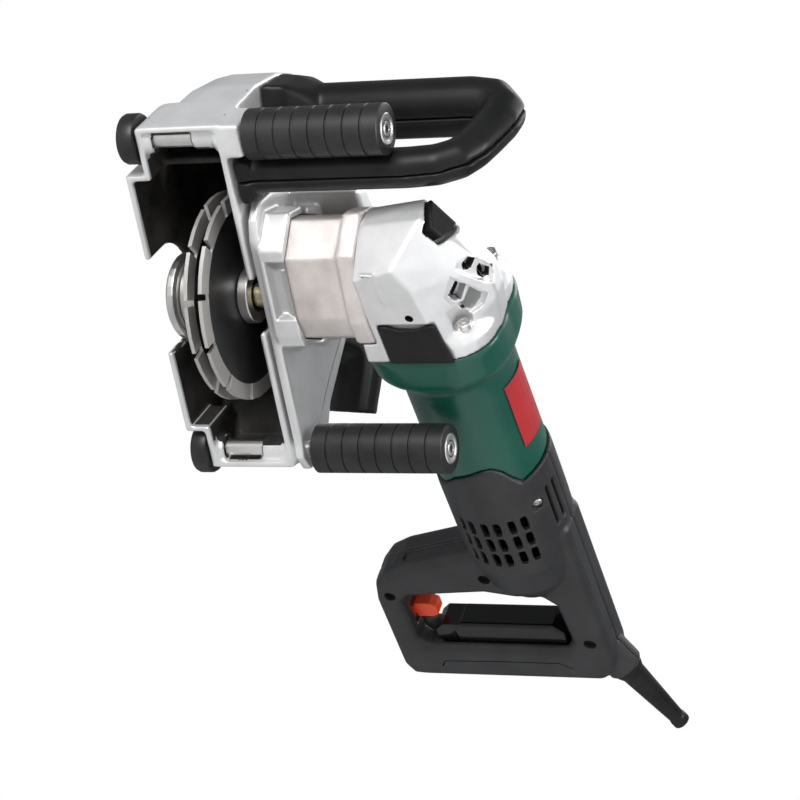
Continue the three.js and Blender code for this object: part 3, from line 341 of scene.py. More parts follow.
BLACK = finish("black_moulding", (0.006, 0.006, 0.006), (0.01, 0.01, 0.01), 0.34, 0.0, 1800.0, 0.12, 0.8,
               (0.03, 0.03, 0.03), 0.4, shine=0.2)
GLOSS = finish("polished_black", (0.003, 0.003, 0.003), (0.005, 0.005, 0.005), 0.14, 0.0, 900.0, 0.03, 0.8,
               (0.03, 0.03, 0.03), 0.3, shine=0.35)
GREY = finish("charcoal_moulding", (0.019, 0.019, 0.02), (0.028, 0.028, 0.029), 0.42, 0.0, 2200.0, 0.2, 0.8,
              (0.08, 0.08, 0.08), 0.4, shine=0.3)
GREEN = finish("green_lacquer", (0.003, 0.062, 0.042), (0.004, 0.075, 0.05), 0.34, 0.0, 1500.0, 0.06, 0.8,
               (0.03, 0.17, 0.12), 0.4, coat=0.2, shine=0.35)
ORANGE = finish("signal_red_moulding", (0.78, 0.07, 0.012), (0.62, 0.045, 0.01), 0.34, 0.0, 1500.0, 0.08, 0.5,
                (0.8, 0.16, 0.07), 0.4)
PANEL = finish("red_panel", (0.42, 0.02, 0.025), (0.36, 0.016, 0.02), 0.38, 0.0, 1700.0, 0.05, 0.2)
# Dust and painted shade: a dark colour for stone dust and grease. It also paints the shade inside the hood and
# behind the gear case windows.
DUST_AND_PAINTED_SHADE = finish("dusty_hood_inside", (0.012, 0.0115, 0.011), (0.05, 0.047, 0.043), 0.62, 0.1, 500.0, 0.5, 1.0,
               (0.2, 0.2, 0.19), 0.5, shine=0.2)
COPPER = finish("enamelled_copper", (0.72, 0.28, 0.1), (0.55, 0.19, 0.07), 0.3, 1.0, 500.0, 0.4, 0.4)
IRON = finish("stacked_laminations", (0.16, 0.16, 0.17), (0.1, 0.1, 0.1), 0.45, 0.9, 700.0, 0.4, 0.3)
print("finishes", len(bpy.data.materials))

# %% [markdown]
# ## Which way the machine points
# The motor leans on the hood. The record's rotor joint gives its direction, and the foot of
# the line from the spindle to that axis gives an origin, so details can be placed in the
# machine's own axes: across the tool, along the motor, and up from it.

# %% The machine's own axes
joints = {j["name"]: j for j in frame["joints"]}
ALONG = Vector(joints["rotor_spin"]["axis"]).normalized()
ALONG = ALONG if ALONG.x < 0 else -ALONG
ACROSS = Vector((0, 1, 0))
AWAY = ALONG.cross(ACROSS) if ALONG.cross(ACROSS).z > 0 else ACROSS.cross(ALONG)
rotor_at = Vector(joints["rotor_spin"]["pos_m"])
ORIGIN = rotor_at - ALONG * ALONG.dot(rotor_at - Vector((0, rotor_at.y, 0)))


def on_machine(across, along, away):
    """A place in the machine's axes, in millimetres from its origin."""
    return ORIGIN + (ACROSS * across + ALONG * along + AWAY * away) * MM


print("machine axis", [round(v, 4) for v in ALONG], "origin", [round(v, 4) for v in ORIGIN])

# %% [markdown]
# ## From facets to castings
# CAD solids arrive as flat facets with knife-sharp edges. Die castings and mouldings have
# soft corners everywhere, because the metal or plastic must leave its mould. Bevelling every
# edge fails where small facets meet, so a copy is rebuilt as an even skin of small quads and
# relaxed. The relaxing rounds edges by about a millimetre and melts the facets into curves.

# %% Which body a piece gets, and a slot name for each finish
NODE_BODY = {n: b for b, members in frame["record"]["behaviour"]["bodies"].items() for n in members}
SLOT = {CAST.name: "cast_alloy", ROUGH_CAST.name: "cast_alloy", STEEL.name: "steel", BRASSY.name: "steel",
        RUBBER.name: "rubber", BLACK.name: "black_plastic", GLOSS.name: "black_gloss", GREY.name: "grey_plastic",
        GREEN.name: "green_plastic", ORANGE.name: "red_plastic", PANEL.name: "red_plastic",
        DUST_AND_PAINTED_SHADE.name: "cast_alloy", COPPER.name: "copper", IRON.name: "steel"}


def settle(piece, body, material_slot, *replaced):
    """Parents a piece to its body and hides the CAD nodes it stands for."""
    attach(piece, body)
    if replaced:
        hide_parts(*replaced)
    return piece


# %% Copies of CAD nodes, and plain meshes from modifiers
def copied(node, name):
    """A welded copy of a CAD node's mesh as a new object."""
    shell = bmesh.new()
    shell.from_mesh(frame["nodes"][node].data)
    bmesh.ops.remove_doubles(shell, verts=shell.verts, dist=0.01 * MM)
    mesh = bpy.data.meshes.new(name)
    shell.to_mesh(mesh)
    shell.free()
    for label in [a.name for a in mesh.attributes if a.name in ("custom_normal", "sharp_edge", "sharp_face")]:
        mesh.attributes.remove(mesh.attributes[label])
    piece = bpy.data.objects.new(name, mesh)
    bpy.context.collection.objects.link(piece)
    return piece


def baked(piece):
    """Turns an object's modifiers into a plain mesh, and removes them."""
    bpy.context.view_layer.update()
    result = bpy.data.meshes.new_from_object(piece.evaluated_get(bpy.context.evaluated_depsgraph_get()))
    piece.modifiers.clear()
    piece.data = result
    result.name = piece.name
    return piece


def merged(mesh):
    """Welds a mesh's doubles and turns its faces outwards."""
    shell = bmesh.new()
    shell.from_mesh(mesh)
    bmesh.ops.remove_doubles(shell, verts=shell.verts, dist=0.005 * MM)
    bmesh.ops.recalc_face_normals(shell, faces=shell.faces)
    shell.to_mesh(mesh)
    shell.free()


# %% One rule for a rebuilt skin
def relaxed(node, name, paint, voxel=1.0, rounds=10, keep=0.5, smooth_at=50):
    """A CAD node rebuilt as an even skin and relaxed, in one finish."""
    piece = copied(node, name)
    skin = piece.modifiers.new("even_skin", "REMESH")
    skin.mode, skin.voxel_size, skin.use_smooth_shade = "VOXEL", voxel * MM, True
    ease = piece.modifiers.new("relax", "SMOOTH")
    ease.factor, ease.iterations = 0.5, rounds
    if keep < 1:
        thin = piece.modifiers.new("thin", "DECIMATE")
        thin.ratio = keep
    baked(piece)
    piece.data.polygons.foreach_set("use_smooth", [True] * len(piece.data.polygons))
    piece.data.set_sharp_from_angle(angle=math.radians(smooth_at))
    piece.data.materials.clear()
    piece.data.materials.append(paint)
    settle(piece, NODE_BODY[node], SLOT[paint.name], node)
    print(name, len(piece.data.polygons), "faces")
    return piece


# %% The castings
hood = relaxed("hood_shell", "hood_casting", CAST, 1.3, 5, 0.6)
plate = relaxed("swing_plate", "swing_plate_casting", CAST, 1.0, 6, 0.5)
relaxed("gearbox_neck", "neck_casting", ROUGH_CAST, 0.9, 8, 0.5)
gearcase = relaxed("gear_housing", "gear_case_casting", CAST, 0.9, 12, 0.5)

# %% The mouldings
relaxed("motor_housing", "motor_can", GREEN, 0.8, 30, 0.4)
rear_low = relaxed("rear_shell_lower", "rear_half_lower", GREY, 0.9, 9, 0.4)
rear_high = relaxed("rear_shell_upper", "rear_half_upper", GREY, 0.9, 9, 0.4)
relaxed("guide_handle_front", "guide_handle_half_front", BLACK, 1.0, 30, 0.35)
relaxed("guide_handle_rear", "guide_handle_half_rear", BLACK, 1.0, 30, 0.35)
relaxed("dust_nozzle", "dust_outlet", BLACK, 0.9, 14, 0.4)
relaxed("cord_boot", "cable_boot", BLACK, 0.5, 10, 0.5)
trigger = relaxed("trigger", "trigger_moulding", GLOSS, 0.5, 14, 0.4)
lock = relaxed("lock_button", "lock_on_button", ORANGE, 0.35, 8, 0.5)
spindle_key = relaxed("spindle_lock_button", "spindle_lock_cap", BLACK, 0.4, 8, 0.4)
relaxed("wall_side_pad", "wall_side_buffer", BLACK, 0.5, 8, 0.4)
relaxed("depth_clamp_knob", "depth_clamp_grip", BLACK, 0.5, 10, 0.4)

# %% [markdown]
# ## Details cut into the skins
# Windows, screw seats, parting lines and embossed lines are crisp on the real castings, so
# they're cut after the relaxing. Each is a flat outline in the machine's axes, pushed through
# the skin, and Blender's manifold boolean takes it away.

# %% Cutters
def prism(corners, out=2.0, deep=2.0, towards=None):
    """A solid from a flat outline in machine axes, from above the surface to below it."""
    loop = [on_machine(*c) for c in corners]
    facing = Vector()
    for here, there in zip(loop, loop[1:] + loop[:1]):
        facing += here.cross(there)
    facing.normalize()
    outward = on_machine(*towards) - on_machine(0, 0, 0) if towards else (MIDDLE - loop[0]) * -1
    if facing.dot(outward) < 0:
        loop.reverse()
        facing = -facing
    count = len(loop)
    mesh = bpy.data.meshes.new("cutter")
    mesh.from_pydata([p + facing * (out * MM) for p in loop] + [p - facing * (deep * MM) for p in loop], [],
                     [tuple(range(count)), tuple(reversed(range(count, 2 * count)))]
                     + [(i, i + count, (i + 1) % count + count, (i + 1) % count) for i in range(count)])
    merged(mesh)
    return mesh


def strip(path, width, facing):
    """The outline of a thin line along a path, as wide as a parting line or an embossed rib."""
    points, facing = [Vector(p) for p in path], Vector(facing).normalized()
    left, right = [], []
    for place, point in enumerate(points):
        run = points[min(place + 1, len(points) - 1)] - points[max(place - 1, 0)]
        side = facing.cross(run).normalized() * (width / 2)
        left.append(tuple(point + side))
        right.append(tuple(point - side))
    return left + right[::-1]


def bored(place, facing, radius, deep, out=3.0, steps=40):
    """A round cutter at a place in machine axes."""
    facing = Vector(facing).normalized()
    one = facing.orthogonal().normalized()
    two = facing.cross(one)
    ring = [tuple(Vector(place) + (one * math.cos(a) + two * math.sin(a)) * radius)
            for a in (2 * math.pi * i / steps for i in range(steps))]
    return prism(ring, out, deep, tuple(facing))


def flattened(corners, facing):
    """The corners moved onto one plane through their middle."""
    facing = Vector(facing).normalized()
    heart = sum((Vector(c) for c in corners), Vector()) / len(corners)
    return [tuple(Vector(c) - facing * (Vector(c) - heart).dot(facing)) for c in corners]


def worked(piece, cutters, way="DIFFERENCE"):
    """Cuts solids out of a piece, or joins them to it."""
    for place, mesh in enumerate(cutters):
        tool = bpy.data.objects.new("tool", mesh)
        bpy.context.collection.objects.link(tool)
        cut = piece.modifiers.new("cut", "BOOLEAN")
        cut.operation, cut.object, cut.solver = way, tool, "MANIFOLD"
        before = len(piece.data.polygons)
        baked(piece)
        bpy.data.objects.remove(tool)
        if len(piece.data.polygons) == before:
            print("cutter", place, "missed", piece.name)
    piece.data.polygons.foreach_set("use_smooth", [True] * len(piece.data.polygons))
    piece.data.set_sharp_from_angle(angle=math.radians(40))
    return piece


# %% [markdown]
# ## The gear case
# The gear case breathes through windows, which sit in shallow sunk beds on its sloping
# flanks. A boss hole and a raised rib mark its underside. The windows are cut through the skin,
# so they have real depth, and their floors and sides are given painted shade further down.

# %% Gear case: cooling windows, their sunk beds, a boss hole and a rib
FLANK = (0.72, 0, -0.69)
BELOW = (0, 0, -1)
BEDS = [[(35.1, -26.1, -16.1), (42.6, -16.1, -8.5), (47, -3, -4), (47.6, 2.2, -11.1), (41.8, -6.6, -18.2),
         (32.9, -19.8, -23.5)],
        [(29.8, -18.2, -26.6), (43.4, 5.5, -15.3), (40.6, 12.0, -19.0), (29.1, 13.9, -28.5), (24.2, -6.8, -33)]]
WINDOWS = [[(36.2, -19.6, -18.5), (39.2, -22.1, -15.3), (42.4, -18.2, -12.6), (39.7, -13.3, -16.5)],
           [(42.9, -13.5, -11.8), (46.7, -6.7, -8), (47.0, -1.2, -11.4), (43.3, -7.0, -15.6)],
           [(31.4, -13.1, -25.3), (35.9, -6.5, -21.8), (31.7, 1.8, -26.1), (27.0, -6.0, -31.2)],
           [(37.0, -3.8, -21.2), (41.5, 5.3, -17.1), (38.6, 9.6, -20.4), (31.6, 10.6, -26.8), (30.1, 6.4, -27.5)]]
RIB = [(-15.7, -36.2, -44), (-8.2, -35.7, -44), (-7.3, -13.3, -44)]
tools = [prism(flattened(bed, FLANK), 4, 0.9, FLANK) for bed in BEDS]
tools += [prism(flattened(window, FLANK), 5, 7.5, FLANK) for window in WINDOWS]
tools += [bored((4.6, -1.1, -44), BELOW, 2.6, 6)]
worked(gearcase, tools)
worked(gearcase, [prism(strip(RIB, 1.4, BELOW), 0.9, 1.5, BELOW)], "UNION")
print("gear case", len(gearcase.data.polygons), "faces")

# %% Swing plate: a shallow line cut along its rear edge
EDGE_LINE = [(-83.1, 75.7, 20.8), (-83.1, 80.3, -7.7), (-83.1, 86.8, -31.3)]
worked(plate, [prism(strip(EDGE_LINE, 1.0, (1, 0, 0)), 0.6, 0.6, (1, 0, 0))])
print("swing plate", len(plate.data.polygons), "faces")

# %% [markdown]
# ## The rear housing
# Two moulded halves are screwed together from below, so four seats are bored in them. Their
# parting lines are thin grooves, drawn as strips along a path. The upper half gives way a
# little beside the trigger's end. Cooling air enters by slots that lie along the motor, in
# six columns of three round the underside, placed by their angle about the motor.

# %% Rear housing: screw seats, parting lines and room beside the trigger
PLAIN_SEATS = (((-29.5, 257, -17), 4.2), ((-100.7, 275.7, -17), 4.0), ((26.4, 318.5, -17), 4.4))
DEEP_SEAT, DEEP_FACING = (29.6, 179.5, -22.6), (0.45, 0.35, -0.82)
GRIP_LINE = [(-83.6, 344.5, -17), (-80.5, 339.2, -17), (-41.4, 338.2, -17), (0.5, 338.4, -17), (8.5, 343.4, -17)]
BODY_LINE = [(-92, 250.8, -3), (-74.9, 245.5, -3), (-40, 235, -3)]
TRIGGER_ROOM = [(-84, 311, -19), (-69, 311, -19), (-69, 326, -19), (-84, 326, -19)]
worked(rear_low, [bored(place, BELOW, radius, 5) for place, radius in PLAIN_SEATS]
       + [bored(DEEP_SEAT, DEEP_FACING, 4.2, 5), prism(strip(GRIP_LINE, 1.1, BELOW), 2, 1.8, BELOW),
          prism(strip(BODY_LINE, 1.0, BELOW), 8, 1.4, BELOW)])
worked(rear_high, [prism(TRIGGER_ROOM, 0.5, 32, BELOW)])
print("rear halves", len(rear_low.data.polygons), "and", len(rear_high.data.polygons), "faces")

# %% Cooling slots round the motor
VENT_HALF_WIDTH, VENT_HALF_LENGTH, VENT_RADIUS = 1.9, 6, 40
vents = []
for angle in (-62, -90, -118):
    for shift in (-6.5, 6.5):
        way = math.radians(angle - shift)
        spoke, across = Vector((math.cos(way), 0, math.sin(way))), Vector((-math.sin(way), 0, math.cos(way)))
        for row in (188, 202, 216):
            heart = spoke * VENT_RADIUS + Vector((0, row, 0))
            reach = Vector((0, VENT_HALF_LENGTH, 0))
            outline = [tuple(heart + across * (u * VENT_HALF_WIDTH) + reach * v)
                       for u, v in ((-1, -1), (1, -1), (1, 1), (-1, 1))]
            vents.append(prism(outline, 5, 7.5, tuple(spoke)))
worked(rear_low, vents)
print("rear half", len(rear_low.data.polygons), "faces,", len(vents), "cooling slots")

# %% [markdown]
# ## Buttons and the trigger
# The trigger reaches further along the grip than its CAD block, so a wedge is joined to it.
# The spindle lock's cap is a little smaller than its CAD block, which leaves room for its
# travel beside the rounded casting, and the lock-on button is narrower along the grip.
# Scaling each about its own middle keeps it in its place.

# %% The longer trigger, and the smaller buttons
TRIGGER_REACH = [(-82.5, 316.5, 0), (-76.5, 311, 0), (-60, 311, 0), (-60, 333, 0), (-82.5, 333, 0)]


def middle_of(piece):
    """The centre of a piece's own box."""
    places = [v.co for v in piece.data.vertices]
    return Vector([(min(p[k] for p in places) + max(p[k] for p in places)) / 2 for k in range(3)])


worked(trigger, [prism(TRIGGER_REACH, 9.3, 9.3, BELOW)], "UNION")
for piece, size in ((spindle_key, Matrix.Scale(0.93, 4)), (lock, Matrix.Scale(0.72, 4, ALONG))):
    heart = middle_of(piece)
    piece.data.transform(Matrix.Translation(heart) @ size @ Matrix.Translation(-heart))
print("trigger", len(trigger.data.polygons), "faces")

# %% [markdown]
# ## Dust and painted shade on the insides
# Stone dust and painted shade keep the inside of the hood dark while its rims stay bright, and
# painted shade and grease darken the gear case behind its windows. A face belongs to the inside if a
# straight line out of it soon meets the same casting again, or if it looks down from above the hood's rim.

# %% Paint dust and shade on the insides
def darkened(piece, is_inside):
    """Gives the dust and painted shade finish to the faces a rule picks, by the face and the way to the next wall.
    """
    walls = BVHTree.FromPolygons([v.co for v in piece.data.vertices],
                                 [tuple(p.vertices) for p in piece.data.polygons])
    piece.data.materials.append(DUST_AND_PAINTED_SHADE)
    count = 0
    for face in piece.data.polygons:
        reach = walls.ray_cast(face.center + face.normal * (0.2 * MM), face.normal, 0.26)[3]
        if is_inside(face, reach / MM if reach is not None else None):
            face.material_index = len(piece.data.materials) - 1
            count += 1
    print(piece.name, count, "inside faces")


# %% The hood's inside
def hood_inside(face, reach):
    """Whether a hood face lies under the dome, between its walls, or looks down from above the rim."""
    within = face.center.y < 63 * MM or face.normal.y < -0.5
    facing_down = face.normal.z < -0.1 and face.center.z > -13 * MM and face.center.y < 66 * MM
    return (reach is not None and within and face.normal.z > -0.9) or (facing_down and face.normal.y > -0.9)


darkened(hood, hood_inside)


# %% The gear case's inside
def case_inside(face, reach):
    """Whether a gear case face is within its walls, or on the floor or the sides of a window."""
    if reach is not None and (reach < 8.5 or reach > 25):
        return True
    spot = (face.center - ORIGIN) / MM
    spot = Vector((spot.dot(ACROSS), spot.dot(ALONG), spot.dot(AWAY)))
    lean = Vector(FLANK).normalized()
    for window in WINDOWS:
        gap = spot - sum((Vector(c) for c in window), Vector()) / len(window)
        under = -gap.dot(lean)
        floor_face = face.normal.dot(lean) > 0.995 and 4 < under < 10
        side_face = abs(face.normal.dot(lean)) < 0.05 and 0.9 < under < 9
        if (floor_face or side_face) and (gap + lean * under).length < 6.8:
            return True
    return False


darkened(gearcase, case_inside)

# %% [markdown]
# ## Turned parts
# Wheels, rollers, flanges and the nut are turned on a lathe, so their skin is spun from half
# an outline about the CAD part's own axis. Ninety-six steps leave no facet to see.

# %% Spin an outline about an axis
def turned(name, centre, axis, outline, paint, body, replaced=(), steps=96, angle=35):
    """A lathe part: outline points are (radius, place along the axis) in millimetres."""
    axis = axis.normalized()
    side = axis.orthogonal().normalized()
    other = axis.cross(side)
    rings = [[centre + axis * (h * MM) + (side * math.cos(a) + other * math.sin(a)) * (r * MM)
              for a in (2 * math.pi * i / steps for i in range(steps))] for r, h in outline]
    points = [p for ring in rings for p in ring]
    faces = [(k * steps + i, k * steps + (i + 1) % steps, (k + 1) * steps + (i + 1) % steps, (k + 1) * steps + i)
             for k in range(len(outline) - 1) for i in range(steps)]
    mesh = bpy.data.meshes.new(name)
    mesh.from_pydata(points, [], faces)
    merged(mesh)
    mesh.polygons.foreach_set("use_smooth", [True] * len(mesh.polygons))
    mesh.set_sharp_from_angle(angle=math.radians(angle))
    mesh.materials.append(paint)
    piece = bpy.data.objects.new(name, mesh)
    bpy.context.collection.objects.link(piece)
    settle(piece, body, SLOT[paint.name], *replaced)
    return piece


def middle(node):
    """The centre of a CAD node's box."""
    low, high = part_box(node)
    return (low + high) / 2


# %% Wall wheels
for end in ("front", "rear"):
    node = end + "_wheel"
    low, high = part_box(node)
    radius, half = (high.x - low.x) / 2 / MM, (high.y - low.y) / 2 / MM
    turned(end + "_wheel_tyre", middle(node), ACROSS,
           [(7, -half), (radius - 2.4, -half), (radius - 0.7, -half + 0.6), (radius, -half + 2),
            (radius, half - 2), (radius - 0.7, half - 0.6), (radius - 2.4, half), (5, half),
            (5, -half + 1), (7, -half)],
           RUBBER, NODE_BODY[node], (node,))
    print(node, round(radius, 2), round(half, 2))

# %% [markdown]
# ## Ribbed roller sleeves
# Each roller carries a rubber sleeve with seven turned grooves. The sleeve follows a rule, so
# Geometry Nodes make it: a flat grid is wrapped round the axis, and its radius drops wherever
# the place along the roller falls in a groove. Length, radius, rib count and groove depth
# are the tree's inputs.

# %% The sleeve's node tree
sleeve_tree = bpy.data.node_groups.new("ribbed_sleeve", "GeometryNodeTree")
sleeve_tree.is_modifier = True
SLEEVE_INPUTS = {"Length": 0.08, "Radius": 0.015, "Ribs": 8.0, "Groove Depth": 0.001, "Groove Share": 0.06}
sleeve_tree.interface.new_socket("Geometry", in_out="INPUT", socket_type="NodeSocketGeometry")
for label, value in SLEEVE_INPUTS.items():
    socket = sleeve_tree.interface.new_socket(label, in_out="INPUT", socket_type="NodeSocketFloat")
    socket.default_value = value
sleeve_tree.interface.new_socket("Finish", in_out="INPUT", socket_type="NodeSocketMaterial")
sleeve_tree.interface.new_socket("Geometry", in_out="OUTPUT", socket_type="NodeSocketGeometry")
sleeve_in, sleeve_out = sleeve_tree.nodes.new("NodeGroupInput"), sleeve_tree.nodes.new("NodeGroupOutput")
grid, spot = sleeve_tree.nodes.new("GeometryNodeMeshGrid"), sleeve_tree.nodes.new("GeometryNodeInputPosition")
for label, value in (("Size X", 1), ("Size Y", 1), ("Vertices X", 97), ("Vertices Y", 321)):
    grid.inputs[label].default_value = value
parts = sleeve_tree.nodes.new("ShaderNodeSeparateXYZ")
sleeve_tree.links.new(spot.outputs["Position"], parts.inputs["Vector"])
turn = math_node(sleeve_tree, "MULTIPLY", parts.outputs["X"], 2 * math.pi)
reach = math_node(sleeve_tree, "ADD", parts.outputs["Y"], 0.5)
rib_place = math_node(sleeve_tree, "FRACT", math_node(sleeve_tree, "MULTIPLY", reach, sleeve_in.outputs["Ribs"]))
from_crest = math_node(sleeve_tree, "ABSOLUTE", math_node(sleeve_tree, "SUBTRACT", rib_place, 0.5))
step = sleeve_tree.nodes.new("ShaderNodeMapRange")
step.interpolation_type = "SMOOTHSTEP"
sleeve_tree.links.new(from_crest, step.inputs["Value"])
groove_edge = math_node(sleeve_tree, "SUBTRACT", 0.5, sleeve_in.outputs["Groove Share"])
sleeve_tree.links.new(groove_edge, step.inputs["From Min"])
step.inputs["From Max"].default_value = 0.485
drop = math_node(sleeve_tree, "MULTIPLY", step.outputs["Result"], sleeve_in.outputs["Groove Depth"])
inside = math_node(sleeve_tree, "LESS_THAN", math_node(sleeve_tree, "ABSOLUTE", parts.outputs["Y"]), 0.4995)
ring_radius = math_node(sleeve_tree, "SUBTRACT", sleeve_in.outputs["Radius"], drop)
ring_radius = math_node(sleeve_tree, "MULTIPLY", ring_radius, inside)
wrap = sleeve_tree.nodes.new("ShaderNodeCombineXYZ")
for label, first, second in (("X", ring_radius, math_node(sleeve_tree, "COSINE", turn)),
                             ("Y", parts.outputs["Y"], sleeve_in.outputs["Length"]),
                             ("Z", ring_radius, math_node(sleeve_tree, "SINE", turn))):
    sleeve_tree.links.new(math_node(sleeve_tree, "MULTIPLY", first, second), wrap.inputs[label])
put, weld = sleeve_tree.nodes.new("GeometryNodeSetPosition"), sleeve_tree.nodes.new("GeometryNodeMergeByDistance")
weld.inputs["Distance"].default_value = 0.000005
real = sleeve_tree.nodes.new("GeometryNodeRealizeInstances")
paint_on = sleeve_tree.nodes.new("GeometryNodeSetMaterial")
sleeve_tree.links.new(grid.outputs["Mesh"], put.inputs["Geometry"])
sleeve_tree.links.new(wrap.outputs["Vector"], put.inputs["Position"])
sleeve_tree.links.new(put.outputs["Geometry"], weld.inputs["Geometry"])
sleeve_tree.links.new(weld.outputs["Geometry"], real.inputs["Geometry"])
sleeve_tree.links.new(real.outputs["Geometry"], paint_on.inputs["Geometry"])
sleeve_tree.links.new(sleeve_in.outputs["Finish"], paint_on.inputs["Material"])
sleeve_tree.links.new(paint_on.outputs["Geometry"], sleeve_out.inputs["Geometry"])
print(sleeve_tree.name, len(sleeve_tree.nodes), "nodes")

# %% A plain mesh from a tree
def socket_id(tree, label):
    """The identifier of a tree's named input."""
    return next(s.identifier for s in tree.interface.items_tree if s.in_out == "INPUT" and s.name == label)


def grown(name, tree, **values):
    """A plain mesh made by a Geometry Nodes tree with these inputs."""
    piece = bpy.data.objects.new(name, bpy.data.meshes.new(name))
    maker = piece.modifiers.new("maker", "NODES")
    maker.node_group = tree
    for label, value in values.items():
        maker[socket_id(tree, label.replace("_", " "))] = value
    bpy.context.collection.objects.link(piece)
    return baked(piece)


# %% Both rollers
for end in ("front", "rear"):
    low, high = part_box(end + "_roller_tyre")
    sleeve = grown(end + "_roller_sleeve", sleeve_tree, Length=high.y - low.y, Radius=(high.x - low.x) / 2,
                   Ribs=8.0, Groove_Depth=1.1 * MM, Groove_Share=0.075, Finish=RUBBER)
    sleeve.data.transform(Matrix.Translation((low + high) / 2))
    merged(sleeve.data)
    sleeve.data.polygons.foreach_set("use_smooth", [True] * len(sleeve.data.polygons))
    sleeve.data.set_sharp_from_angle(angle=math.radians(55))
    settle(sleeve, NODE_BODY[end + "_roller_tyre"], "rubber", end + "_roller_tyre", end + "_roller_core")
    print(sleeve.name, len(sleeve.data.polygons), "faces")

# %% [markdown]
# ## Flange screws
# Four socket screws hold the gear case to the motor. One screw is spun, and a node tree puts
# a copy of it on each corner of a rectangle, so the spacing is an input.

# %% The corner tree
corner_tree = bpy.data.node_groups.new("one_at_each_corner", "GeometryNodeTree")
corner_tree.is_modifier = True
for label, kind in (("Geometry", "Geometry"), ("Width", "Float"), ("Height", "Float"), ("Part", "Object"),
                    ("Finish", "Material")):
    corner_tree.interface.new_socket(label, in_out="INPUT", socket_type="NodeSocket" + kind)
corner_tree.interface.new_socket("Geometry", in_out="OUTPUT", socket_type="NodeSocketGeometry")
corner_in, corner_out = corner_tree.nodes.new("NodeGroupInput"), corner_tree.nodes.new("NodeGroupOutput")
corners, part = corner_tree.nodes.new("GeometryNodeMeshGrid"), corner_tree.nodes.new("GeometryNodeObjectInfo")
corners.inputs["Vertices X"].default_value = corners.inputs["Vertices Y"].default_value = 2
copies = corner_tree.nodes.new("GeometryNodeInstanceOnPoints")
real = corner_tree.nodes.new("GeometryNodeRealizeInstances")
paint_on = corner_tree.nodes.new("GeometryNodeSetMaterial")
for source, target in ((corner_in.outputs["Width"], corners.inputs["Size X"]),
                       (corner_in.outputs["Height"], corners.inputs["Size Y"]),
                       (corner_in.outputs["Part"], part.inputs["Object"]),
                       (corners.outputs["Mesh"], copies.inputs["Points"]),
                       (part.outputs["Geometry"], copies.inputs["Instance"]),
                       (copies.outputs["Instances"], real.inputs["Geometry"]),
                       (real.outputs["Geometry"], paint_on.inputs["Geometry"]),
                       (corner_in.outputs["Finish"], paint_on.inputs["Material"]),
                       (paint_on.outputs["Geometry"], corner_out.inputs["Geometry"])):
    corner_tree.links.new(source, target)
print(corner_tree.name, len(corner_tree.nodes), "nodes")

# %% Four socket screws on the flange
one_screw = turned("one_screw", Vector((0, 0, 0)), Vector((0, 0, 1)),
                   [(0, 0), (4.4, 0), (4.4, 3.2), (3.8, 3.8), (2.4, 3.8), (2.2, 1.6), (0, 1.6)], STEEL, "machine")
screws = grown("gear_case_screws", corner_tree, Width=59 * MM, Height=60 * MM, Part=one_screw, Finish=STEEL)
bpy.data.objects.remove(one_screw)
screws.data.transform(frame_of(ACROSS, AWAY, -ALONG, on_machine(0, 19.2, 0)))
merged(screws.data)
screws.data.set_sharp_from_angle(angle=math.radians(35))
settle(screws, "machine", "steel")
print("screws", len(screws.data.polygons), "faces")

# %% [markdown]
# ## Screws and caps one at a time
# The rear housing's deepest seat leaves its screw in sight, so that one is made. The rollers'
# end caps and the wheels' screws have their own outlines, sized from their CAD boxes.

# %% The rear housing's bright screw, in its deep seat
seat_facing = (ACROSS * DEEP_FACING[0] + ALONG * DEEP_FACING[1] + AWAY * DEEP_FACING[2]).normalized()
turned("rear_housing_screw", on_machine(*DEEP_SEAT) - seat_facing * (3.4 * MM), seat_facing,
       [(0, -2), (3.4, -2), (3.4, 1.6), (2.9, 2.2), (1.8, 2.2), (1.6, 0.8), (0, 0.8)], STEEL, "machine")

# %% Roller end caps and wheel hubs
for end in ("front", "rear"):
    low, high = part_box(end + "_roller_cap")
    radius, half = (high.x - low.x) / 2 / MM, (high.y - low.y) / 2 / MM
    turned(end + "_roller_end", middle(end + "_roller_cap"), ACROSS,
           [(0, -half), (radius, -half), (radius, half - 0.7), (radius - 0.6, half), (radius - 2.2, half),
            (radius - 2.8, half - 0.5), (4.4, half - 0.5), (4.2, half - 0.1), (2.6, half), (2.4, half - 1.6),
            (0, half - 1.6)],
           STEEL, "hood", (end + "_roller_cap",))
    low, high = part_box(end + "_wheel_bolt")
    radius, half = (high.x - low.x) / 2 / MM, (high.y - low.y) / 2 / MM
    turned(end + "_wheel_screw", middle(end + "_wheel_bolt"), ACROSS,
           [(0, half), (radius, half), (radius, -half + 0.8), (radius - 0.8, -half), (3, -half),
            (2.8, -half + 1.2), (0, -half + 1.2)],
           STEEL, "hood", (end + "_wheel_bolt",))

# %% [markdown]
# ## Discs, flanges and the clamping nut
# The cutting discs are dark steel blanks with bright sintered segments at the rim. The CAD
# blank has the right outline, so only its finish changes: a mask that measures the distance
# from the spindle turns the blank bright in the segment ring.

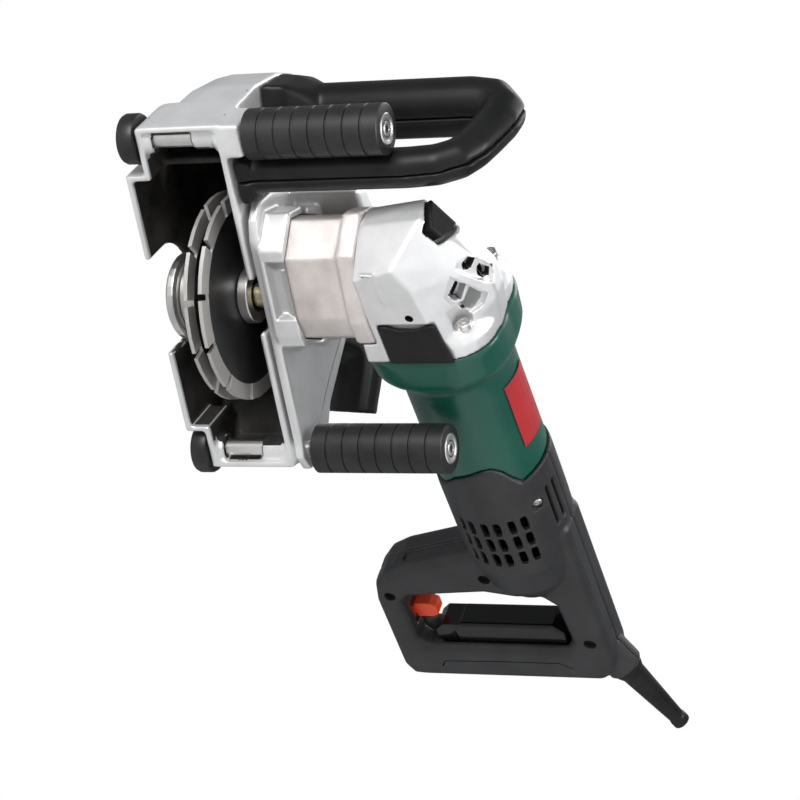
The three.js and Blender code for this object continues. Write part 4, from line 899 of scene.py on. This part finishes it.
# %% A finish that changes at the rim
def disc_finish(name, rim):
    """Dark blank inside, sintered segments outside a radius in metres."""
    paint = finish(name, (0.035, 0.036, 0.038), (0.06, 0.06, 0.062), 0.36, 0.75, 1300.0, 0.12, 0.2)
    tree = paint.node_tree
    shader = tree.nodes["Principled BSDF"]
    place = tree.nodes.new("ShaderNodeSeparateXYZ")
    coordinates = next(n for n in tree.nodes if n.bl_idname == "ShaderNodeTexCoord")
    tree.links.new(coordinates.outputs["Object"], place.inputs["Vector"])
    square = math_node(tree, "ADD", math_node(tree, "POWER", place.outputs["X"], 2.0),
                       math_node(tree, "POWER", place.outputs["Z"], 2.0))
    ring = math_node(tree, "GREATER_THAN", math_node(tree, "SQRT", square), rim)
    dark = shader.inputs["Base Color"].links[0].from_socket
    gritty = noise(tree, coordinates.outputs["Object"], 2600.0, 2)
    bright = mix_colour(tree, gritty, (0.42, 0.4, 0.38), (0.74, 0.72, 0.7))
    tree.links.new(mix_colour(tree, ring, dark, bright), shader.inputs["Base Color"])
    return paint


SEGMENT_DEPTH = 9.5
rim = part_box("disc_outer")[1].x - SEGMENT_DEPTH * MM
DISC = disc_finish("segmented_disc", rim)
SLOT[DISC.name] = "disc_steel"
for node in ("disc_outer", "disc_inner"):
    piece = copied(node, node + "_blade")
    piece.data.materials.clear()
    piece.data.materials.append(DISC)
    piece.data.set_sharp_from_angle(angle=math.radians(30))
    settle(piece, NODE_BODY[node], "disc_steel", node)
relaxed("clamping_nut", "clamping_nut_turned", STEEL, 0.4, 4, 0.5)
print("segment ring starts at", round(rim, 4))

# %% Flanges and spacers
BORE = 10.4
for node in ("inner_flange", "disc_spacer", "pressure_flange", "spare_spacer_1", "spare_spacer_2"):
    low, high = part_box(node)
    radius, half = (high.x - low.x) / 2 / MM, (high.y - low.y) / 2 / MM
    turned(node + "_turned", middle(node), ACROSS,
           [(BORE, -half), (radius - 0.6, -half), (radius, -half + 0.6), (radius, half - 0.6),
            (radius - 0.6, half), (BORE, half), (BORE, -half)], STEEL, "cutter", (node,))
    print(node, round(radius, 2), round(half * 2, 2))

# %% [markdown]
# ## Finishes for the parts that keep their CAD shape
# Bearings, windings, brushes and shafts are hidden in the housings or are simple bars. Their
# shape is right already, so their material slots are given the right finish.

# %% Paint the kept nodes
KEPT = {
    STEEL: ("front_axle", "rear_axle", "front_sleeve", "rear_sleeve", "countershaft", "counter_bearing_front",
            "counter_bearing_rear", "spindle_bearing_front", "spindle_bearing_rear", "rotor_shaft",
            "rotor_bearing_front", "rotor_bearing_rear"),
    BRASSY: ("spindle",), IRON: ("rotor_core",), COPPER: ("stator", "commutator"),
    BLACK: ("cooling_fan", "brush_holder_left", "brush_holder_right", "switch_module", "speed_electronics"),
    PANEL: ("rating_panel",),
}
for paint, members in KEPT.items():
    for node in members:
        slots = frame["nodes"][node].data.materials
        if not len(slots):
            slots.append(paint)
        for place in range(len(frame["nodes"][node].material_slots)):
            frame["nodes"][node].material_slots[place].material = paint
print("painted", sum(len(m) for m in KEPT.values()))
